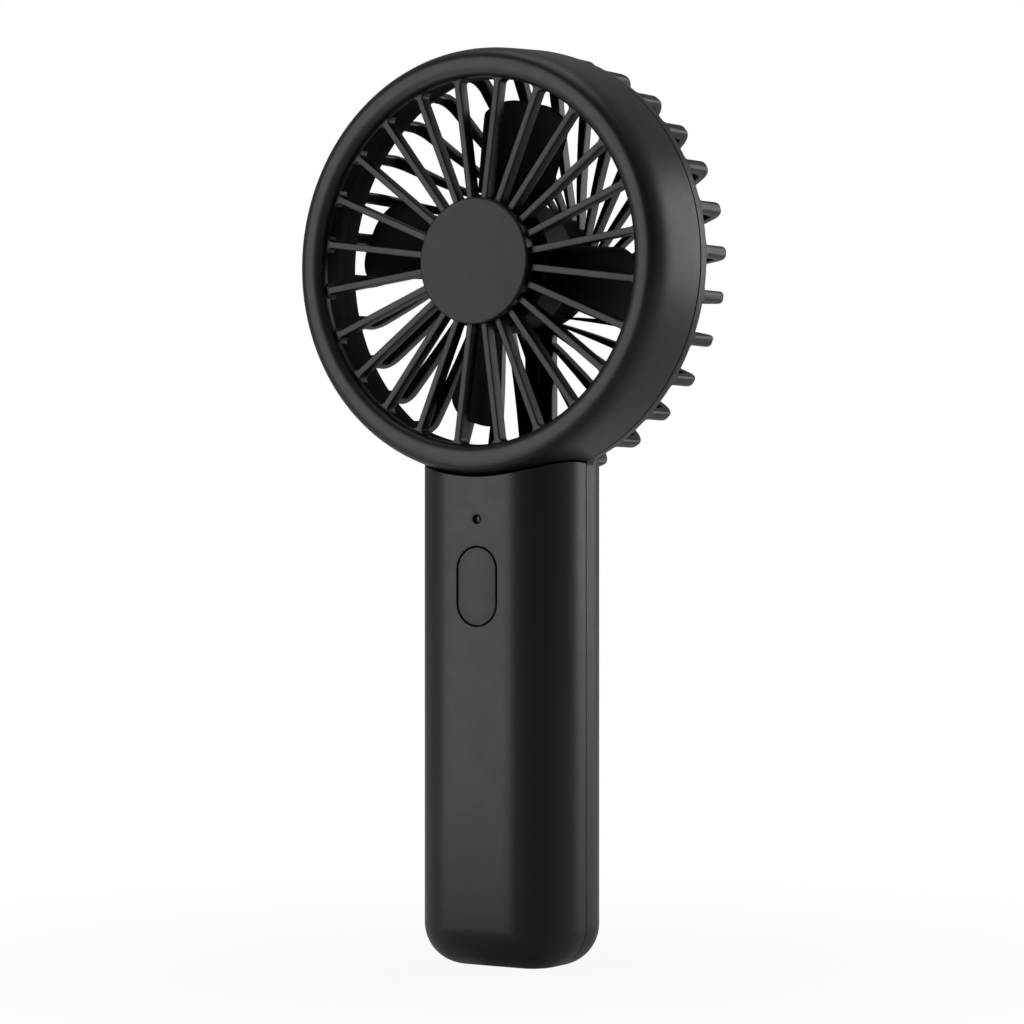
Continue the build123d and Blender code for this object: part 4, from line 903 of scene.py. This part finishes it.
rear_skin = handle_surface(1, BAND_BORE + BORE_CLEARANCE, 0, [socket_mouth])
rear_shell = moulded_shell("handle_rear", rear_skin, (0, 1, 0))
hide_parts("rear_housing")
piece("seam_lip", [seam_lip_surface()], SHELL)


# Button, light and charging socket

def stadium_surface(half_x, half_z, radius, rows, height):
    """Stack of stadiums: each row is an inset from the outline and a depth behind the seam.

    Points go round a circle and move outwards by the half spans, each to its own side, and a sine or
    cosine of nought belongs to neither side."""
    turn = np.linspace(0, 2 * pi, STADIUM_POINTS, endpoint=False)
    core_x = half_x * np.sign(np.round(np.cos(turn), NOUGHT_DECIMALS))
    core_z = half_z * np.sign(np.round(np.sin(turn), NOUGHT_DECIMALS))
    inset = rows[:, :1]
    x = core_x + (radius - inset) * np.cos(turn)
    z = height + core_z + (radius - inset) * np.sin(turn)
    return patch(np.stack([x, SEAM_Y + rows[:, 1:] + 0 * x, z], -1), wrap_columns=True)


def button_surface():
    """Flat stadium face with a rounded rim, its sides and the flange behind the handle's wall."""
    radius = BUTTON_WIDTH / 2 - BUTTON_GAP
    turn = np.linspace(0, pi / 2, BUTTON_EDGE_ROWS)
    front = -HALF_DEPTH
    flange = front + HANDLE_WALL + FIT
    back = flange + BUTTON_FLANGE_THICKNESS
    reach = -BUTTON_FLANGE - BUTTON_GAP
    rim = np.stack([BUTTON_EDGE * (1 - np.sin(turn)), front + BUTTON_EDGE * (1 - np.cos(turn))], -1)
    rows = np.concatenate([
        [[radius, front]], rim, [[0, flange], [reach, flange], [reach, back], [radius, back]],
    ])
    return stadium_surface(0, BUTTON_CORE, radius, rows, BUTTON_Z)


def lens_surface():
    """Light pipe with a low domed tip below the handle's face: a parabola carried round its own axis."""
    radius = LIGHT_RADIUS - CLOSE_FIT
    across = np.linspace(0, 1, DOME_ROWS)
    dome = np.stack([radius * across, LENS_Y + LENS_DOME * across**2], -1)
    return turned(np.concatenate([dome, [[radius, LENS_REAR_Y], [0, LENS_REAR_Y]]]), LENS_POINTS, LIGHT_Z)


def socket_surface():
    """Thin metal stadium shell, open to the back and closed at its inner end."""
    floor = SOCKET_INNER_Y + SOCKET_WALL
    rows = np.array([
        [SOCKET_RADIUS, SOCKET_INNER_Y], [0, SOCKET_INNER_Y], [0, SOCKET_Y],
        [SOCKET_WALL, SOCKET_Y], [SOCKET_WALL, floor], [SOCKET_RADIUS, floor],
    ])
    return stadium_surface(SOCKET_HALF - SOCKET_RADIUS, 0, SOCKET_RADIUS, rows, SOCKET_Z)


button = piece("button_key", [button_surface()], BUTTON, body="button")
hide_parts("power_button")
lens = piece("light_lens", [lens_surface()], LENS)
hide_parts("led_lens")
socket = piece("socket_shell", [socket_surface()], STEEL)
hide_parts("usb_socket")


# Impeller

def hub_surface():
    """Cup-shaped hub, closed at the front with a rounded edge, carried round the fan axis."""
    floor = IMPELLER_Y + IMPELLER_WALL
    return turned(rounded([
        (0, IMPELLER_Y, 0),
        (IMPELLER_RADIUS, IMPELLER_Y, IMPELLER_EDGE),
        (IMPELLER_RADIUS, IMPELLER_REAR_Y, EDGE),
        (IMPELLER_BORE, IMPELLER_REAR_Y, EDGE),
        (IMPELLER_BORE, floor, EDGE),
        (0, floor, 0),
    ], SHOWN_EDGE_CELLS), MOTOR_POINTS)


def blade_surface():
    """Twisted cambered blade: chord and pitch change evenly with radius, the camber line is a parabola,
    the thickness falls to a rounded rim, and the plan is trimmed to a rounded tip."""
    root = IMPELLER_RADIUS - IMPELLER_WALL / 2
    tip = BLADE_TIP_RADIUS
    body_rows = np.linspace(root, tip - BLADE_CORNER, BLADE_ROWS)
    tip_rows = tip - BLADE_CORNER * (1 - np.sin(np.linspace(0, pi / 2, BLADE_TIP_ROWS)))[1:]
    radius = np.concatenate([body_rows, tip_rows])[:, None]
    share = (radius - root) / (tip + BLADE_RIM - root)
    half = (BLADE_ROOT_CHORD + share * (BLADE_TIP_CHORD - BLADE_ROOT_CHORD)) / 2
    pitch = np.radians(BLADE_ROOT_PITCH + share * (BLADE_TIP_PITCH - BLADE_ROOT_PITCH))
    plan = BLADE_TIP_CHORD * cos(radians(BLADE_TIP_PITCH)) / 2
    into = np.clip(radius - tip + BLADE_CORNER, 0, BLADE_CORNER)
    limit = plan - BLADE_CORNER + np.sqrt(BLADE_CORNER**2 - into**2)
    most = np.minimum(1, limit / (half * np.cos(pitch)))
    turn = np.linspace(0, 2 * pi, BLADE_POINTS, endpoint=False)[None]
    chordwise = np.cos(turn)
    edge = np.sign(np.sin(turn)) * np.sqrt(np.clip(1 - chordwise**BLADE_BLUNTNESS, 0, 1))
    along = chordwise * most
    thick = BLADE_RIM + (BLADE_THICKNESS - BLADE_RIM) * (1 - along**2)
    rise = 2 * half * BLADE_CAMBER * (1 - along**2) + edge * thick / 2
    depth = IMPELLER_Y + IMPELLER_LENGTH / 2 + along * half * np.sin(pitch) + rise * np.cos(pitch)
    across = -along * half * np.cos(pitch) + rise * np.sin(pitch)
    wing = closed_ends(on_head(radius, across, depth))
    return patch(around_head(wing, BLADE_COUNT, BLADE_PHASE), wrap_columns=True)


impeller = piece("impeller_blades", [hub_surface(), blade_surface()], BLADES, body="rotor")
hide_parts("impeller")


# Finishes of the solids that stay

NODE_FINISHES = {
    SWITCH: ["switch_plunger", "tact_switch", "usb_tongue"],
    BOARD: ["main_pcb", "charge_pcb", "motor_pcb"],
    PHOSPHOR: ["led_chip"],
    STEEL: [
        "board_screws", "motor_screws", "battery_tabs", "rotor_yoke", "motor_shaft", "shaft_clip",
        "stator_core",
    ],
    SLEEVE: ["battery_cell"],
    LEAD: ["battery_leads", "charge_lead", "motor_lead"],
    MAGNET: ["rotor_magnet"],
    COPPER: ["stator_coils"],
    BRASS: ["bearing_tube", "front_bearing", "rear_bearing"],
}
for finish, names in NODE_FINISHES.items():
    for name in names:
        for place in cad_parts[name].material_slots:
            place.link = "OBJECT"
            place.material = finish


# Studio

FAN_MIDDLE = (0, 0, 0.11)     # point that the boxes face
DARK_SIDE = (0.42, -0.91, 0)  # level direction, from the object, of the unlit side of the room
DIM_FROM = 0.45               # cosine of the angle to the dark side where the room starts to dim
DIM_TO = 0.85                 # and where it is darkest
ROOM_GREY = 0.24              # mirrored brightness of the room's pale sides
ROOM_DARK = 0.06              # and of its dark side
ROOM_FILL = 0.08              # plain fill light from all round
FLOOR_HALF = 4.0              # half the floor's side
FLOOR_TONE = 0.9
FLOOR_ROUGHNESS = 0.9
SHADOW_RADIUS = 0.04          # distance from the foot up to which the floor's shadow stays
WHITE_RADIUS = 0.20           # and from which the floor is plain white
SHADOW_WHITE = 0.93           # share of plain white over the shadow
CAMERA_PLACE = (0.3972, -0.6411, 0.09895)
CAMERA_TURN = 31.73
CAMERA_LENS = 121.1           # millimetres, as is the sensor
SENSOR_WIDTH = 36.0


def area_light(name, place, target, width, height, radiance):
    """Rectangular soft light, unseen by the camera, whose face has the given brightness."""
    lamp = bpy.data.lights.new(name, "AREA")
    lamp.shape = "RECTANGLE"
    lamp.size = width
    lamp.size_y = height
    lamp.energy = radiance * pi * width * height
    made = bpy.data.objects.new(name, lamp)
    made.location = place
    direction = np.array(target) - np.array(place)
    level = np.hypot(direction[0], direction[1])
    made.rotation_euler = (np.arctan2(level, -direction[2]), 0, np.arctan2(-direction[0], direction[1]))
    made.visible_camera = False
    bpy.context.scene.collection.objects.link(made)


def math_node(tree, operation, first, second):
    """Output of a node that works out one value from two."""
    made = tree.nodes.new("ShaderNodeMath")
    made.operation = operation
    tree.links.new(first, made.inputs[0])
    tree.links.new(second, made.inputs[1])
    return made.outputs["Value"]


def room_white(tree, way):
    """White of the room along a direction: full for the camera and through glass, and in mirror images
    a soft grey that falls off towards the dark side."""
    facing = tree.nodes.new("ShaderNodeVectorMath")
    facing.operation = "DOT_PRODUCT"
    facing.inputs[1].default_value = DARK_SIDE
    fall = tree.nodes.new("ShaderNodeMapRange")
    tune(fall, {"From Min": DIM_FROM, "From Max": DIM_TO, "To Min": ROOM_GREY, "To Max": ROOM_DARK})
    tree.links.new(way, facing.inputs[0])
    tree.links.new(facing.outputs["Value"], fall.inputs["Value"])
    path = tree.nodes.new("ShaderNodeLightPath").outputs
    mirrored = math_node(tree, "MULTIPLY", fall.outputs["Result"], path["Is Glossy Ray"])
    clear = math_node(tree, "MAXIMUM", path["Is Camera Ray"], path["Is Transmission Ray"])
    return math_node(tree, "MAXIMUM", clear, mirrored)


def floor_material():
    """Pale floor that keeps the shadow near the object and goes over to the white room further out."""
    made, tree, shader = new_material("studio_floor")
    tune(shader, {"Base Color": (FLOOR_TONE, FLOOR_TONE, FLOOR_TONE, 1)})
    tune(shader, {"Roughness": FLOOR_ROUGHNESS, "Specular IOR Level": 0.0})
    place = tree.nodes.new("ShaderNodeTexCoord")
    away = tree.nodes.new("ShaderNodeVectorMath")
    away.operation = "LENGTH"
    fade = tree.nodes.new("ShaderNodeMapRange")
    fade.interpolation_type = "SMOOTHSTEP"
    tune(fade, {"From Min": SHADOW_RADIUS, "From Max": WHITE_RADIUS, "To Min": SHADOW_WHITE})
    way = tree.nodes.new("ShaderNodeVectorMath")
    way.operation = "NORMALIZE"
    white = tree.nodes.new("ShaderNodeEmission")
    mix = tree.nodes.new("ShaderNodeMixShader")
    tree.links.new(place.outputs["Object"], away.inputs[0])
    tree.links.new(away.outputs["Value"], fade.inputs["Value"])
    tree.links.new(place.outputs["Object"], way.inputs[0])
    room = room_white(tree, way.outputs["Vector"])
    tree.links.new(math_node(tree, "MULTIPLY", fade.outputs["Result"], room), mix.inputs["Fac"])
    tree.links.new(shader.outputs["BSDF"], mix.inputs[1])
    tree.links.new(white.outputs["Emission"], mix.inputs[2])
    tree.links.new(mix.outputs["Shader"], tree.nodes["Material Output"].inputs["Surface"])
    return made


def studio_floor():
    """Square of floor that reaches far past the camera's view."""
    mesh = bpy.data.meshes.new("studio_floor")
    corners = FLOOR_HALF * np.array([(-1, -1, 0), (1, -1, 0), (1, 1, 0), (-1, 1, 0)])
    mesh.from_pydata(corners.tolist(), [], [(0, 1, 2, 3)])
    mesh.materials.append(floor_material())
    floor = bpy.data.objects.new("studio_floor", mesh)
    bpy.context.scene.collection.objects.link(floor)


def studio_world():
    """The room's white behind everything, with a dim fill where that is darker."""
    world = bpy.data.worlds.new("studio")
    world.use_nodes = True
    bpy.context.scene.world = world
    tree = world.node_tree
    background = tree.nodes["Background"]
    way = tree.nodes.new("ShaderNodeTexCoord")
    strength = tree.nodes.new("ShaderNodeMath")
    strength.operation = "MAXIMUM"
    strength.inputs[1].default_value = ROOM_FILL
    tree.links.new(room_white(tree, way.outputs["Generated"]), strength.inputs[0])
    tree.links.new(strength.outputs["Value"], background.inputs["Strength"])
    tune(background, {"Color": (1, 1, 1, 1)})


def photo_camera():
    """Level camera at about half the fan's height, to the right of its front."""
    lens = bpy.data.cameras.new("photo_camera")
    lens.lens = CAMERA_LENS
    lens.sensor_width = SENSOR_WIDTH
    camera = bpy.data.objects.new("photo_camera", lens)
    camera.location = CAMERA_PLACE
    camera.rotation_euler = (radians(90), 0, radians(CAMERA_TURN))
    bpy.context.scene.collection.objects.link(camera)
    bpy.context.scene.camera = camera


studio_floor()
studio_world()
photo_camera()
area_light(
    "front_left_box", place=(-0.68, -1.09, 0.36), target=FAN_MIDDLE,
    width=0.64, height=0.72, radiance=2.6,
)
area_light(
    "rear_right_box", place=(0.68, 1.07, 0.36), target=FAN_MIDDLE,
    width=0.60, height=0.72, radiance=2.3,
)
area_light(
    "top_box", place=(-0.1, 0.1, 1.3), target=FAN_MIDDLE,
    width=0.9, height=0.9, radiance=1.0,
)
area_light(
    "front_left_card", place=(-0.24, -0.38, 0.05), target=(-0.17, -0.27, 1.0),
    width=0.13, height=0.64, radiance=1.2,
)
bpy.context.scene.view_settings.view_transform = "Standard"
